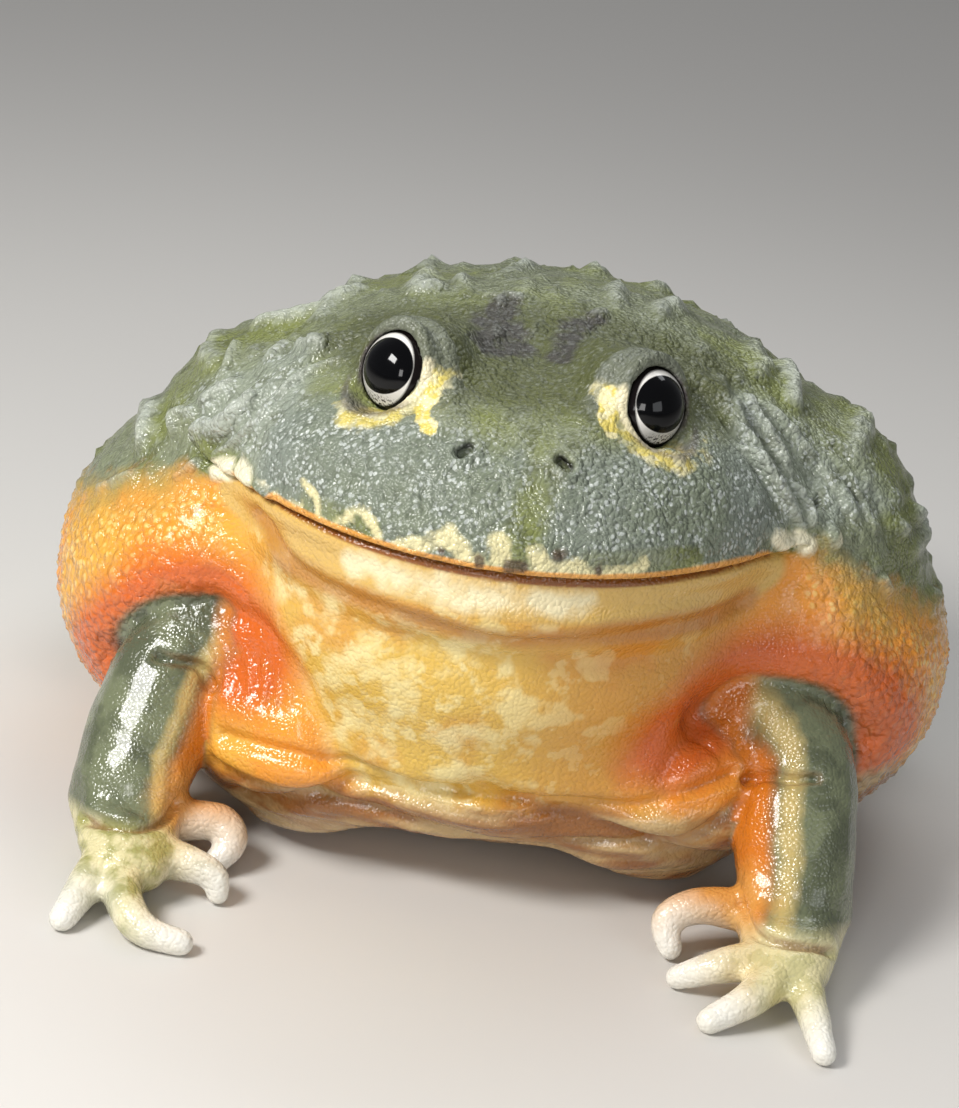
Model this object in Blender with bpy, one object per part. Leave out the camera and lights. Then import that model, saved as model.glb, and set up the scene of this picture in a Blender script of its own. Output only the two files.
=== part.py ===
# African bullfrog, a large adult male, as a still life-size model.
# It sits raised on its front legs with the body full of air and the hind legs folded under the flanks.
# Frame: millimetres below, metres in the scene. The frog faces -Y, its left side is +X, the floor is z = 0.

import math

import bmesh
import bpy
import numpy as np
from mathutils import Matrix, Vector
from mathutils.bvhtree import BVHTree

# Driving dimensions, in millimetres
MM = 0.001
GAP = 0.3                  # kept between pieces that meet
SNOUT_Y = 14.0             # the front of the upper lip
MOUTH_Z = 70.0             # height of the mouth line in front
MOUTH_HALF_WIDTH = 51.0
MOUTH_LENGTH = 54.0        # snout to the corners of the mouth, along Y
CORNER_Z = 66.0            # height of the mouth line at its corners
EYE_RADIUS = 8.0
EYE_CENTRE = Vector((20.0, 46.8, 92.3))
GAZE = Vector((0.60, -0.74, 0.30)).normalized()
NOSTRIL = Vector((8.5, 24.5, 88.0))
BODY_VOXEL = 1.6
BODY_TRIANGLES = 5900
ARM_TRIANGLES = 1100
LEG_PART_TRIANGLES = {"thigh": 220, "shank": 240, "foot": 560}
SIDES = (-1, 1)            # the frog's right, then its left

# The head parts from the body along this rounded boundary behind the jaw
HEAD_CENTRE = Vector((0, 20, 68))
HEAD_RADII = Vector((74, 71, 44))

# Colours, linear
GREEN = (0.16, 0.19, 0.11)
ORANGE = (0.72, 0.30, 0.05)
YELLOW = (0.70, 0.47, 0.14)
CREAM = (0.70, 0.62, 0.42)
BLACK = (0.01, 0.01, 0.012)


def clear_scene():
    for obj in list(bpy.data.objects):
        bpy.data.objects.remove(obj, do_unlink=True)


def ball(centre, radii, turn=(0.0, 0.0, 0.0)):
    """A mass of flesh: an ellipsoid, turned by degrees about X, Y and Z."""
    def add(bm):
        spin = Matrix.Rotation(math.radians(turn[2]), 4, "Z") @ Matrix.Rotation(
            math.radians(turn[1]), 4, "Y") @ Matrix.Rotation(math.radians(turn[0]), 4, "X")
        place = Matrix.Translation(Vector(centre)) @ spin @ Matrix.Diagonal((*radii, 1.0))
        bmesh.ops.create_uvsphere(bm, u_segments=40, v_segments=24, radius=1.0, matrix=place)
    return add


def smooth_path(points, radii, steps=6):
    """Catmull-Rom points and radii through the named ones."""
    count = len(points)
    out = []
    for i in range(count - 1):
        p = [Vector(points[max(0, min(count - 1, i + k))]) for k in (-1, 0, 1, 2)]
        r = [radii[max(0, min(count - 1, i + k))] for k in (-1, 0, 1, 2)]
        for s in range(steps):
            t = s / steps
            w = (-0.5 * t + t * t - 0.5 * t ** 3, 1 - 2.5 * t * t + 1.5 * t ** 3,
                 0.5 * t + 2 * t * t - 1.5 * t ** 3, -0.5 * t * t + 0.5 * t ** 3)
            out.append((sum((p[k] * w[k] for k in range(4)), Vector()), sum(r[k] * w[k] for k in range(4))))
    out.append((Vector(points[-1]), radii[-1]))
    return out


def tube(points, radii, wide=1.0, high=1.0, around=14, up=(0.0, 0.0, 1.0)):
    """A limb or finger: an elliptic tube with round ends along a smooth path."""
    def add(bm):
        path = smooth_path(points, radii)
        first, last = path[0], path[-1]
        heading = (path[1][0] - first[0]).normalized()
        leaving = (last[0] - path[-2][0]).normalized()
        start = [(first[0] - heading * first[1] * math.cos(a), first[1] * math.sin(a))
                 for a in (0.35, 0.75, 1.15)]
        end = [(last[0] + leaving * last[1] * math.cos(a), last[1] * math.sin(a))
               for a in (1.15, 0.75, 0.35)]
        path = start + path + end
        rings = []
        for i, (centre, radius) in enumerate(path):
            ahead = path[min(i + 1, len(path) - 1)][0] - path[max(i - 1, 0)][0]
            side = Vector(up).cross(ahead)
            if side.length < 1e-6:
                side = Vector((1, 0, 0))
            side.normalize()
            top = ahead.cross(side).normalized()
            ring = []
            for k in range(around):
                a = 2 * math.pi * k / around
                ring.append(bm.verts.new(centre + side * radius * wide * math.cos(a)
                                         + top * radius * high * math.sin(a)))
            rings.append(ring)
        for a, b in zip(rings, rings[1:]):
            for k in range(around):
                n = (k + 1) % around
                bm.faces.new((a[k], a[n], b[n], b[k]))
        bm.faces.new(rings[0])
        bm.faces.new(rings[-1][::-1])
    return add


def apply_modifiers(obj):
    graph = bpy.context.evaluated_depsgraph_get()
    graph.update()
    mesh = bpy.data.meshes.new_from_object(obj.evaluated_get(graph))
    old = obj.data
    obj.modifiers.clear()
    obj.data = mesh
    bpy.data.meshes.remove(old)


def clay(name, masses, voxel, smoothing, base=None):
    """The masses pressed together into one closed skin, then smoothed."""
    bm = bmesh.new()
    if base is not None:
        bm.from_mesh(base.data)
        bmesh.ops.scale(bm, vec=(1 / MM, 1 / MM, 1 / MM), verts=bm.verts)
        bpy.data.objects.remove(base, do_unlink=True)
    for add in masses:
        add(bm)
    bmesh.ops.recalc_face_normals(bm, faces=bm.faces)
    bmesh.ops.scale(bm, vec=(MM, MM, MM), verts=bm.verts)
    mesh = bpy.data.meshes.new(name)
    bm.to_mesh(mesh)
    bm.free()
    obj = bpy.data.objects.new(name, mesh)
    bpy.context.scene.collection.objects.link(obj)
    remesh = obj.modifiers.new("Press together", "REMESH")
    remesh.mode = "VOXEL"
    remesh.voxel_size = voxel * MM
    smooth = obj.modifiers.new("Smooth", "SMOOTH")
    smooth.factor = 0.5
    smooth.iterations = smoothing
    apply_modifiers(obj)
    return obj


def mirrored(point, side):
    return (point[0] * side, point[1], point[2])


def mirror(vector, side):
    return Vector((vector.x * side, vector.y, vector.z))


def mouth_z(y):
    """Height of the mouth line at a distance behind the snout."""
    back = max(0.0, (y - SNOUT_Y - 12.0) / (MOUTH_LENGTH - 12.0))
    return MOUTH_Z + (CORNER_Z - MOUTH_Z) * back ** 1.5


def jaw_path(inset, drop, turns=17, start=-1.0, end=1.0):
    """Points along the jaw, inside the lip by an inset and below the mouth line by a drop."""
    points = []
    for i in range(turns):
        a = (start + (end - start) * i / (turns - 1)) * math.pi / 2
        x = (MOUTH_HALF_WIDTH - inset) * math.sin(a)
        y = SNOUT_Y + inset + (MOUTH_LENGTH - inset) * (1 - math.cos(a))
        points.append((x, y, mouth_z(y) - drop))
    return points


def trunk_masses():
    masses = [
        ball((5, 102, 47), (70, 59, 50)),
        ball((5, 128, 41), (61, 49, 43)),
        ball((5, 148, 36), (49, 45, 36)),
        ball((5, 83, 57), (66, 47, 44)),
        ball((2, 77, 27), (59, 53, 28)),
        ball((0, 60, 48), (48, 41, 31)),
        ball((0, 68, 72), (53, 53, 26)),
    ]
    for side in SIDES:
        masses.append(ball((2.2 + 50.8 * side, 86, 36.5), (36, 45, 35)))
        masses.append(ball((2 + 30 * side, 72, 23), (34, 45, 24.5)))
        masses.append(ball((5 + 45 * side, 84, 60), (29, 36, 27)))
        masses.append(ball((4 + 38 * side, 114, 40), (37, 40, 37)))
    return masses


def face_masses():
    masses = []
    for side in SIDES:
        behind = mirror(EYE_CENTRE, side) - 3.0 * mirror(GAZE, side)
        masses.append(ball(behind, (10, 10, 10)))
    count = len(jaw_path(0, 0))
    masses.append(tube(jaw_path(4.5, -3.6), [4.5] * count))
    full = [5.2 + 2.4 * math.cos(math.pi * (i / (count - 1) - 0.5)) for i in range(count)]
    masses.append(tube(jaw_path(7.8, 7.8), full))
    return masses


ARMS = {
    "right": {
        "side": -1,
        "arm": [(-34, 64, 42), (-53.5, 50, 33.5), (-58, 41, 21.5), (-60, 33, 12.5)],
        "palm": [(-60, 31, 10), (-57, 16, 6)],
        "fingers": [
            [(-51, 31, 8), (-43, 32.5, 8), (-40.5, 30, 5), (-43, 27, 2.4)],
            [(-54, 21, 6), (-47, 19.5, 6), (-42, 18.5, 5), (-40.8, 17.5, 2.2)],
            [(-58, 15, 6), (-55, 5, 4.5), (-51, 0.5, 3), (-44.5, -0.5, 2.0)],
            [(-61, 16, 6), (-63.5, 8, 4), (-65.2, 2, 2.0)],
        ],
    },
    "left": {
        "side": 1,
        "arm": [(34, 62, 42), (57, 46, 32.5), (59.3, 36.5, 20.5), (60.6, 29, 12)],
        "palm": [(60.5, 27, 10), (59, 12, 6)],
        "fingers": [
            [(53, 27, 8), (44, 25, 9), (38, 22.5, 6.5), (39.5, 20, 2.4)],
            [(55, 14, 6), (48, 10.5, 6), (40.4, 10.8, 2.2)],
            [(57, 9, 6), (52, 2.5, 4.5), (45.7, -1.7, 2.0)],
            [(61, 12, 6), (63, 4, 4.5), (65, -6.6, 2.0)],
        ],
    },
}


def arm_masses(plan):
    masses = [
        tube(plan["arm"], [14, 10.2, 11.3, 10.4]),
        tube(plan["palm"], [8.4, 6.0], wide=1.28, high=0.85),
    ]
    for finger in plan["fingers"]:
        count = len(finger)
        masses.append(tube(finger, [4.3 - 1.7 * i / (count - 1) for i in range(count)]))
    return masses


def leg_masses(side):
    def at(*point):
        return mirrored(point, side)
    toes = [
        [(70, 152, 5), (77, 151, 4), (81, 147, 1.9)],
        [(73, 148, 5), (78, 140, 3.5), (82, 133, 1.9)],
        [(75, 144, 5), (79, 128, 3.5), (81, 116, 1.9)],
        [(74, 142, 5), (75, 122, 3.5), (77, 106, 1.9)],
        [(71, 142, 5), (69, 126, 3.5), (69, 114, 1.9)],
    ]
    foot = [
        tube([at(47, 184, 9), at(61, 170, 6.2), at(76, 142, 5)], [8, 6.5, 5], wide=1.2, high=0.8),
        ball(at(57, 176, 4.0), (3.4, 5.0, 3.6)),
    ]
    for toe in toes:
        foot.append(tube([at(*point) for point in toe], [4.0, 3.3, 2.6]))
    return {
        "thigh": [tube([at(22, 160, 36), at(51, 144, 33), at(72, 122, 27)], [25, 23, 14.5])],
        "shank": [tube([at(71, 125, 19), at(64, 153, 17), at(47, 183, 11.5)], [12, 12.5, 8.5])],
        "foot": foot,
    }


FOLDS = [
    # groove under the lower lip
    {"path": [(-42, 41, 65), (-32, 27, 59), (-20, 19, 59), (-8, 16, 58), (0, 15, 57),
              (10, 16, 57), (20, 19, 59), (32, 27, 60), (43, 42, 60)], "width": 2.0, "height": -1.3},
    # edges of the throat, then the fold under it
    {"path": [(-51, 44, 45), (-39, 38, 44), (-31, 33, 38), (-25, 35, 27), (-21, 35, 23)],
     "width": 2.4, "height": -1.6},
    {"path": [(33, 38, 26), (35, 38, 33), (40, 41, 38)], "width": 2.4, "height": -1.6},
    {"path": [(-36, 44, 19), (-21, 35, 22), (-3, 30, 24), (2, 29, 26), (9, 30, 24),
              (18, 33, 22), (34, 40, 21), (47, 51, 17)], "width": 2.6, "height": -2.6},
    {"path": [(-34, 48, 13), (-14, 37, 17), (6, 34, 18), (25, 39, 16), (40, 50, 12)],
     "width": 4.0, "height": 1.8},
    {"path": [(-24, 46, 8), (-2, 40, 11), (20, 42, 11)], "width": 2.6, "height": -1.2},
    # pockets over the elbows
    {"path": [(-66, 52, 29), (-62, 47, 37), (-57, 45, 42), (-50, 44, 45)], "width": 4.2, "height": -3.6},
    {"path": [(38, 40, 38), (46, 43, 42), (56, 43, 43), (64, 45, 41), (70, 49, 34)],
     "width": 4.2, "height": -3.6},
    # swollen shoulder over each elbow
    {"path": [(-52, 46, 55), (-58, 50, 57)], "width": 9.0, "height": 2.2},
    {"path": [(52, 46, 55), (60, 52, 56)], "width": 9.0, "height": 2.0},
    # skin fold from behind the eye to the corner of the mouth
    {"path": [(29, 63, 92), (36, 60, 90), (39, 55, 87), (43, 51, 82), (49, 52, 75), (54, 58, 69)],
     "width": 2.6, "height": 2.0},
    {"path": [(-29, 63, 92), (-36, 60, 90), (-41, 54, 86), (-47, 52, 78), (-53, 57, 70)],
     "width": 2.6, "height": 1.8},
    # from the eye to the nostril, and the hollow between the eyes
    {"path": [(14, 40, 92), (11, 31, 89)], "width": 3.2, "height": 1.0},
    {"path": [(-14, 40, 92), (-11, 31, 89)], "width": 3.2, "height": 1.0},
    {"path": [(0, 44, 95), (0, 56, 97)], "width": 7.0, "height": -1.6},
]

# Pale tubercles in a short row at each corner of the mouth
TUBERCLES = [(-51, 54, 69), (-48, 49, 69.5), (-45, 44.5, 70), (47, 47, 70), (51, 52, 69.5), (54, 57, 69)]

# Skin ridges: length, width and height
RIDGE_SIZES = {"long": (26, 6.0, 2.8), "middle": (18, 5.6, 2.6), "short": (11, 5.2, 2.3), "wart": (7, 5.4, 2.0)}


def press_fold(obj, path, width, height):
    """Raises or sinks the skin along a path laid on it."""
    mesh = obj.data
    tree = BVHTree.FromPolygons([v.co / MM for v in mesh.vertices], [tuple(f.vertices) for f in mesh.polygons])
    line = [tree.find_nearest(point)[0] for point, radius in smooth_path(path, [1.0] * len(path), 8)]
    line = np.array([tuple(point) for point in line])
    count = len(mesh.vertices)
    places = np.empty(count * 3)
    mesh.vertices.foreach_get("co", places)
    places = places.reshape(count, 3)
    normals = np.empty(count * 3)
    mesh.vertices.foreach_get("normal", normals)
    normals = normals.reshape(count, 3)
    low = line.min(axis=0) - 3 * width
    high = line.max(axis=0) + 3 * width
    near = np.where(np.all((places / MM > low) & (places / MM < high), axis=1))[0]
    best = np.full(len(near), 1e9)
    for a, b in zip(line, line[1:]):
        along = b - a
        t = np.clip(((places[near] / MM - a) @ along) / max(along @ along, 1e-9), 0, 1)
        best = np.minimum(best, np.linalg.norm(places[near] / MM - (a + t[:, None] * along), axis=1))
    places[near] += normals[near] * (height * MM * np.exp(-(best / width) ** 2))[:, None]
    mesh.vertices.foreach_set("co", places.reshape(-1))
    mesh.update()


def decimate(obj, triangles, finer_before=None):
    """Fewer faces; the skin in front of a given Y keeps more of them, most of all above the mouth."""
    count = sum(len(f.vertices) - 2 for f in obj.data.polygons)
    thin = obj.modifiers.new("Fewer faces", "DECIMATE")
    if finer_before is not None:
        group = obj.vertex_groups.new(name="coarse")
        for vertex in obj.data.vertices:
            behind = max(0.0, (vertex.co.y / MM - finer_before) / 150.0)
            below = max(0.0, (MOUTH_Z - 14.0 - vertex.co.z / MM) / 200.0)
            group.add([vertex.index], min(1.0, 0.84 + behind + below), "REPLACE")
        thin.vertex_group = "coarse"
    thin.ratio = min(1.0, triangles / count)
    apply_modifiers(obj)


def solid_from(name, add):
    """One closed mesh object from a builder of the masses' kind."""
    bm = bmesh.new()
    add(bm)
    bmesh.ops.recalc_face_normals(bm, faces=bm.faces)
    bmesh.ops.scale(bm, vec=(MM, MM, MM), verts=bm.verts)
    mesh = bpy.data.meshes.new(name)
    bm.to_mesh(mesh)
    bm.free()
    obj = bpy.data.objects.new(name, mesh)
    bpy.context.scene.collection.objects.link(obj)
    return obj


def sphere(name, centre, radii, around=20, rings=12, axis=None):
    """An ellipsoid whose poles lie on an axis."""
    def add(bm):
        turn = Matrix.Identity(4)
        if axis is not None:
            turn = Vector(axis).to_track_quat("Z", "Y").to_matrix().to_4x4()
        place = Matrix.Translation(Vector(centre)) @ turn @ Matrix.Diagonal((*radii, 1.0))
        bmesh.ops.create_uvsphere(bm, u_segments=around, v_segments=rings, radius=1.0, matrix=place)
    return solid_from(name, add)


def ring(name, centre, axis, major, minor, around=20, section=6):
    """A torus about an axis: the rim of an eyelid."""
    def add(bm):
        turn = Vector(axis).to_track_quat("Z", "Y").to_matrix()
        loops = []
        for i in range(around):
            a = 2 * math.pi * i / around
            out = Vector((math.cos(a), math.sin(a), 0))
            loop = []
            for k in range(section):
                b = 2 * math.pi * k / section
                loop.append(bm.verts.new(Vector(centre) + turn @ (
                    out * (major + minor * math.cos(b)) + Vector((0, 0, minor * math.sin(b))))))
            loops.append(loop)
        for i in range(around):
            here, after = loops[i], loops[(i + 1) % around]
            for k in range(section):
                n = (k + 1) % section
                bm.faces.new((here[k], after[k], after[n], here[n]))
    return solid_from(name, add)


def slab(name, centre, normal, size, thickness=GAP):
    """A thin square plate that parts two pieces."""
    def add(bm):
        turn = Vector(normal).to_track_quat("Z", "Y").to_matrix().to_4x4()
        place = Matrix.Translation(Vector(centre)) @ turn @ Matrix.Diagonal((size, size, thickness, 1.0))
        bmesh.ops.create_cube(bm, size=1.0, matrix=place)
    return solid_from(name, add)


def mouth_sheet():
    """A thin sheet that follows the line of the mouth from side to side."""
    line = [(-20.0, mouth_z(-20.0))] + [(y, mouth_z(y)) for y in (24, 32, 40, 48, 56, 62, 68)] + [(110.0, 62.0)]
    def add(bm):
        rows = []
        for x in (-100.0, 100.0):
            below = [bm.verts.new((x, y, z - GAP / 2)) for y, z in line]
            above = [bm.verts.new((x, y, z + GAP / 2)) for y, z in line]
            rows.append(below + above[::-1])
        count = len(rows[0])
        for k in range(count):
            n = (k + 1) % count
            bm.faces.new((rows[0][k], rows[0][n], rows[1][n], rows[1][k]))
        half = count // 2
        for row in rows:
            for k in range(half - 1):
                bm.faces.new((row[k], row[k + 1], row[count - 2 - k], row[count - 1 - k]))
    return solid_from("mouth_sheet", add)


def is_closed(mesh):
    """True if each edge joins exactly two faces."""
    uses = {}
    for face in mesh.polygons:
        for key in face.edge_keys:
            uses[key] = uses.get(key, 0) + 1
    return len(mesh.polygons) > 0 and all(count == 2 for count in uses.values())


def combine(obj, others, operation):
    """A Boolean with a collection of closed objects, which are then removed."""
    gathered = bpy.data.collections.new("gathered")
    bpy.context.scene.collection.children.link(gathered)
    for other in others:
        for home in list(other.users_collection):
            home.objects.unlink(other)
        gathered.objects.link(other)
    before = obj.data.copy()
    for solver in ("EXACT", "MANIFOLD"):
        boolean = obj.modifiers.new(operation.title(), "BOOLEAN")
        boolean.operation = operation
        boolean.operand_type = "COLLECTION"
        boolean.collection = gathered
        boolean.solver = solver
        apply_modifiers(obj)
        if is_closed(obj.data):
            break
        if solver == "EXACT":
            print("again with the other solver:", obj.name, operation)
            obj.data = before.copy()
    for other in others:
        bpy.data.objects.remove(other, do_unlink=True)
    bpy.data.collections.remove(gathered)
    return obj


def copy_of(obj, name, swell=0.0):
    """A copy, with its skin moved outward."""
    mesh = obj.data.copy()
    if swell:
        for vertex, normal in zip(mesh.vertices, [v.normal.copy() for v in mesh.vertices]):
            vertex.co += normal * swell * MM
    new = bpy.data.objects.new(name, mesh)
    bpy.context.scene.collection.objects.link(new)
    return new


def shells(obj, names):
    """Splits an object into its largest closed shells, one per name, largest first."""
    bm = bmesh.new()
    bm.from_mesh(obj.data)
    bmesh.ops.triangulate(bm, faces=bm.faces)
    bm.verts.index_update()
    left = set(bm.verts)
    groups = []
    while left:
        stack = [left.pop()]
        group = {stack[0]}
        while stack:
            for edge in stack.pop().link_edges:
                for vert in edge.verts:
                    if vert in left:
                        left.discard(vert)
                        group.add(vert)
                        stack.append(vert)
        groups.append(group)
    parts = []
    for group in groups:
        faces = [f for f in bm.faces if f.verts[0] in group]
        volume = sum(f.verts[0].co.dot(f.verts[1].co.cross(f.verts[2].co)) for f in faces) / 6
        parts.append((volume, group, faces))
    parts.sort(key=lambda part: -part[0])
    made = []
    for name, (volume, group, faces) in zip(names, parts):
        order = {}
        for face in faces:
            for vert in face.verts:
                order.setdefault(vert, len(order))
        mesh = bpy.data.meshes.new(name)
        mesh.from_pydata([tuple(v.co) for v in order], [], [[order[v] for v in f.verts] for f in faces])
        new = bpy.data.objects.new(name, mesh)
        bpy.context.scene.collection.objects.link(new)
        made.append(new)
    bm.free()
    bpy.data.objects.remove(obj, do_unlink=True)
    return made


def centre_of(obj):
    total = Vector()
    for vertex in obj.data.vertices:
        total += vertex.co
    return total / len(obj.data.vertices) / MM


def paint(obj, colour, roughness=0.4):
    material = bpy.data.materials.new(obj.name)
    material.use_nodes = True
    shader = material.node_tree.nodes["Principled BSDF"]
    shader.inputs["Base Color"].default_value = (*colour, 1.0)
    shader.inputs["Roughness"].default_value = roughness
    obj.data.materials.clear()
    obj.data.materials.append(material)


def ridges(body):
    """Broken rows of raised skin along the back and flanks, and warts between them."""
    mesh = body.data
    tree = BVHTree.FromPolygons([v.co / MM for v in mesh.vertices], [tuple(f.vertices) for f in mesh.polygons])
    rng = np.random.default_rng(7)
    made = []
    rows = [(-74, 62, 100), (-57, 66, 118), (-41, 70, 150), (-25, 74, 158), (-9, 78, 150),
            (8, 78, 156), (24, 74, 158), (40, 68, 150), (57, 64, 118), (74, 62, 100)]
    for row, (angle, start, stop) in enumerate(rows):
        y = start + rng.uniform(0, 6)
        while y < stop:
            size = ("long", "middle", "short", "wart", "long", "middle")[int(rng.integers(0, 6))]
            length, width, height = RIDGE_SIZES[size]
            tilt = math.radians(angle + rng.uniform(-4, 4))
            middle = Vector((4, y + length / 2, 42))
            hit = tree.ray_cast(middle, Vector((math.sin(tilt), 0, math.cos(tilt))))
            if hit[0] is not None:
                normal = hit[1]
                along = Vector((rng.uniform(-0.25, 0.25), 1, 0))
                along = (along - normal * along.dot(normal)).normalized()
                side = normal.cross(along)
                frame = Matrix((side, normal, along)).transposed().to_4x4()
                spot = hit[0] - normal * 0.15 * height

                def add(bm, spot=spot, frame=frame, size=(length, width, height)):
                    place = Matrix.Translation(spot) @ frame @ Matrix.Diagonal(
                        (size[1] / 2, size[2], size[0] / 2, 1.0))
                    bmesh.ops.create_uvsphere(bm, u_segments=6, v_segments=4, radius=1.0, matrix=place)
                made.append(solid_from("ridge", add))
            y += length + rng.uniform(5, 11)
    return made


def build_body():
    trunk = clay("trunk", trunk_masses(), 2.0, 34)
    body = clay("body", face_masses(), BODY_VOXEL, 5, trunk)
    for fold in FOLDS:
        press_fold(body, fold["path"], fold["width"], fold["height"])
    for spot in TUBERCLES:
        press_fold(body, [spot, (spot[0], spot[1] + 1.0, spot[2])], 2.0, 1.6)
    for side in SIDES:
        spot = mirror(NOSTRIL, side)
        press_fold(body, [spot, spot + Vector((0.6 * side, 1.0, 0.3))], 3.2, 1.0)
    decimate(body, BODY_TRIANGLES, 58)
    floor = slab("floor", (0, 90, -20), (0, 0, 1), 400, 40)
    combine(body, [floor], "DIFFERENCE")
    swollen = copy_of(body, "swollen", GAP + 0.05)
    combine(body, ridges(body), "UNION")
    fronts, lids, sockets, pits = [], [], [], []
    tree = BVHTree.FromPolygons([v.co / MM for v in body.data.vertices],
                                [tuple(f.vertices) for f in body.data.polygons])
    for side in SIDES:
        centre, gaze = mirror(EYE_CENTRE, side), mirror(GAZE, side)
        fronts.append(sphere("front", centre + 8.2 * gaze, (7.8, 7.8, 7.8), axis=gaze))
        lids.append(ring("lid", centre + 3.6 * gaze, gaze, 7.7, 1.4))
        socket = EYE_RADIUS + GAP
        sockets.append(sphere("socket", centre, (socket, socket, socket), axis=gaze))
        spot = tree.find_nearest(mirror(NOSTRIL, side))[0]
        pits.append(sphere("pit", spot, (1.1, 1.6, 1.8), 8, 6, Vector((0.3 * side, -0.6, 0.7))))
    combine(body, fronts, "DIFFERENCE")
    combine(body, lids, "UNION")
    combine(body, sockets, "DIFFERENCE")
    combine(body, pits, "DIFFERENCE")
    face = copy_of(body, "face")
    combine(face, [sphere("boundary", HEAD_CENTRE, HEAD_RADII, 32, 20)], "INTERSECT")
    wider = HEAD_RADII + Vector((GAP, GAP, GAP)) * 1.05
    combine(body, [sphere("boundary", HEAD_CENTRE, wider, 32, 20)], "DIFFERENCE")
    combine(face, [mouth_sheet()], "DIFFERENCE")
    torso = shells(body, ["torso"])[0]
    head, jaw = shells(face, ["head", "lower_jaw"])
    if centre_of(head).z < centre_of(jaw).z:
        head.name, jaw.name = "was_head", "was_jaw"
        head, jaw = jaw, head
        head.name, jaw.name = "head", "lower_jaw"
    paint(head, GREEN)
    paint(jaw, YELLOW)
    paint(torso, GREEN)
    return swollen, [head, jaw, torso]


def build_arm(name, plan, swollen):
    arm = clay("arm", arm_masses(plan), 0.9, 3)
    decimate(arm, ARM_TRIANGLES)
    combine(arm, [slab("floor", (0, 90, -20), (0, 0, 1), 400, 40)], "DIFFERENCE")
    combine(arm, [copy_of(swollen, "cutter")], "DIFFERENCE")
    side = plan["side"]
    elbow, wrist = plan["arm"][1], plan["arm"][3]
    plates = [
        slab("elbow", (elbow[0] + 1.5 * side, elbow[1] - 2.5, elbow[2] - 6.5), (0.4 * side, -0.42, -0.81), 34),
        slab("wrist", (wrist[0], wrist[1] - 2, wrist[2] - 3.4), (-0.33 * side, -0.23, -0.92), 44),
    ]
    combine(arm, plates, "DIFFERENCE")
    parts = shells(arm, ["a", "b", "c"])
    parts.sort(key=lambda part: -centre_of(part).z)
    for part, kind, colour in zip(parts, ("upper_arm", "forearm", "hand"), (ORANGE, GREEN, CREAM)):
        part.name = kind + "_" + name
        part.data.name = part.name
        paint(part, colour)
    return parts


def build_leg(name, side, swollen):
    made = []
    for kind, masses in leg_masses(side).items():
        part = clay(kind, masses, 1.3, 3)
        decimate(part, LEG_PART_TRIANGLES[kind])
        combine(part, [slab("floor", (0, 90, -20), (0, 0, 1), 400, 40)], "DIFFERENCE")
        combine(part, [copy_of(swollen, "cutter")], "DIFFERENCE")
        for other in made:
            combine(part, [copy_of(other, "cutter", GAP)], "DIFFERENCE")
        part = shells(part, [kind + "_" + name])[0]
        paint(part, CREAM if kind == "foot" else GREEN)
        made.append(part)
    return made


def build():
    clear_scene()
    swollen, pieces = build_body()
    for name, plan in ARMS.items():
        side = plan["side"]
        pieces += build_arm(name, plan, swollen)
        pieces += build_leg(name, side, swollen)
        eye = sphere("eye_" + name, mirror(EYE_CENTRE, side), (EYE_RADIUS,) * 3, axis=mirror(GAZE, side))
        paint(eye, BLACK, 0.05)
        pieces.append(eye)
    bpy.data.objects.remove(swollen, do_unlink=True)
    low = Vector([min(v.co[k] for o in pieces for v in o.data.vertices) for k in range(3)])
    high = Vector([max(v.co[k] for o in pieces for v in o.data.vertices) for k in range(3)])
    shift = Vector((-(low.x + high.x) / 2, -(low.y + high.y) / 2, -low.z))
    for piece in pieces:
        for vertex in piece.data.vertices:
            vertex.co += shift
        piece.data.update()
    return shift


build()
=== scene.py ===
import itertools
import math

import bpy
import numpy as np
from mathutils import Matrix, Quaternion, Vector
from mathutils.bvhtree import BVHTree
from mathutils.kdtree import KDTree


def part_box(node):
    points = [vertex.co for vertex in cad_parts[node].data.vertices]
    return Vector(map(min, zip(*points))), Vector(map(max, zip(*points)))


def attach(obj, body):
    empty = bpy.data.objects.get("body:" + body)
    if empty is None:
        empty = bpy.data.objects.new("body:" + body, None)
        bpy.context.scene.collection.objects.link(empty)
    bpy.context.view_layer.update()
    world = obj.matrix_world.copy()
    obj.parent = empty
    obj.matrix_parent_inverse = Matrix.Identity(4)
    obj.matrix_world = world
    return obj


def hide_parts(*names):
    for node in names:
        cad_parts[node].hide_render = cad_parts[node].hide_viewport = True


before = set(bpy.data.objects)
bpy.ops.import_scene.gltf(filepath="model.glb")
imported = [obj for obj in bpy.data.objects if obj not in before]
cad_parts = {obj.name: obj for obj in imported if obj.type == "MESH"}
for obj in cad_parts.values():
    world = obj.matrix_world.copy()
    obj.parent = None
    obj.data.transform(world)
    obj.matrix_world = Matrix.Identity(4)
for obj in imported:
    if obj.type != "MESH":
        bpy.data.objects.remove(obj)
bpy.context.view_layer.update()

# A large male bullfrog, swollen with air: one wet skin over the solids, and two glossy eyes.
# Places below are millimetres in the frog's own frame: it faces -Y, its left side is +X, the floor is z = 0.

mm = 0.001
sides = {"right": -1, "left": 1}  # the frog's own right and left

eye = {
    "centre": (20.0, 46.8, 92.3),   # of the left eye
    "gaze": (0.60, -0.74, 0.30),
    "radius": 8.0,
    # seen along the gaze: middle outwards and up, half width and half height
    "pupil": (0.0, 0.5, 5.35, 4.87),
    "iris": (0.38, -0.10, 5.80, 6.32),
}

eyeLow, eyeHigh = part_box("eye_left")
origin = (Vector(eyeLow) + Vector(eyeHigh)) / 2 - Vector(eye["centre"]) * mm


def at(point):
    return origin + Vector(point) * mm


def mirrored(point, side):
    return Vector((point[0] * side, point[1], point[2]))


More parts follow.
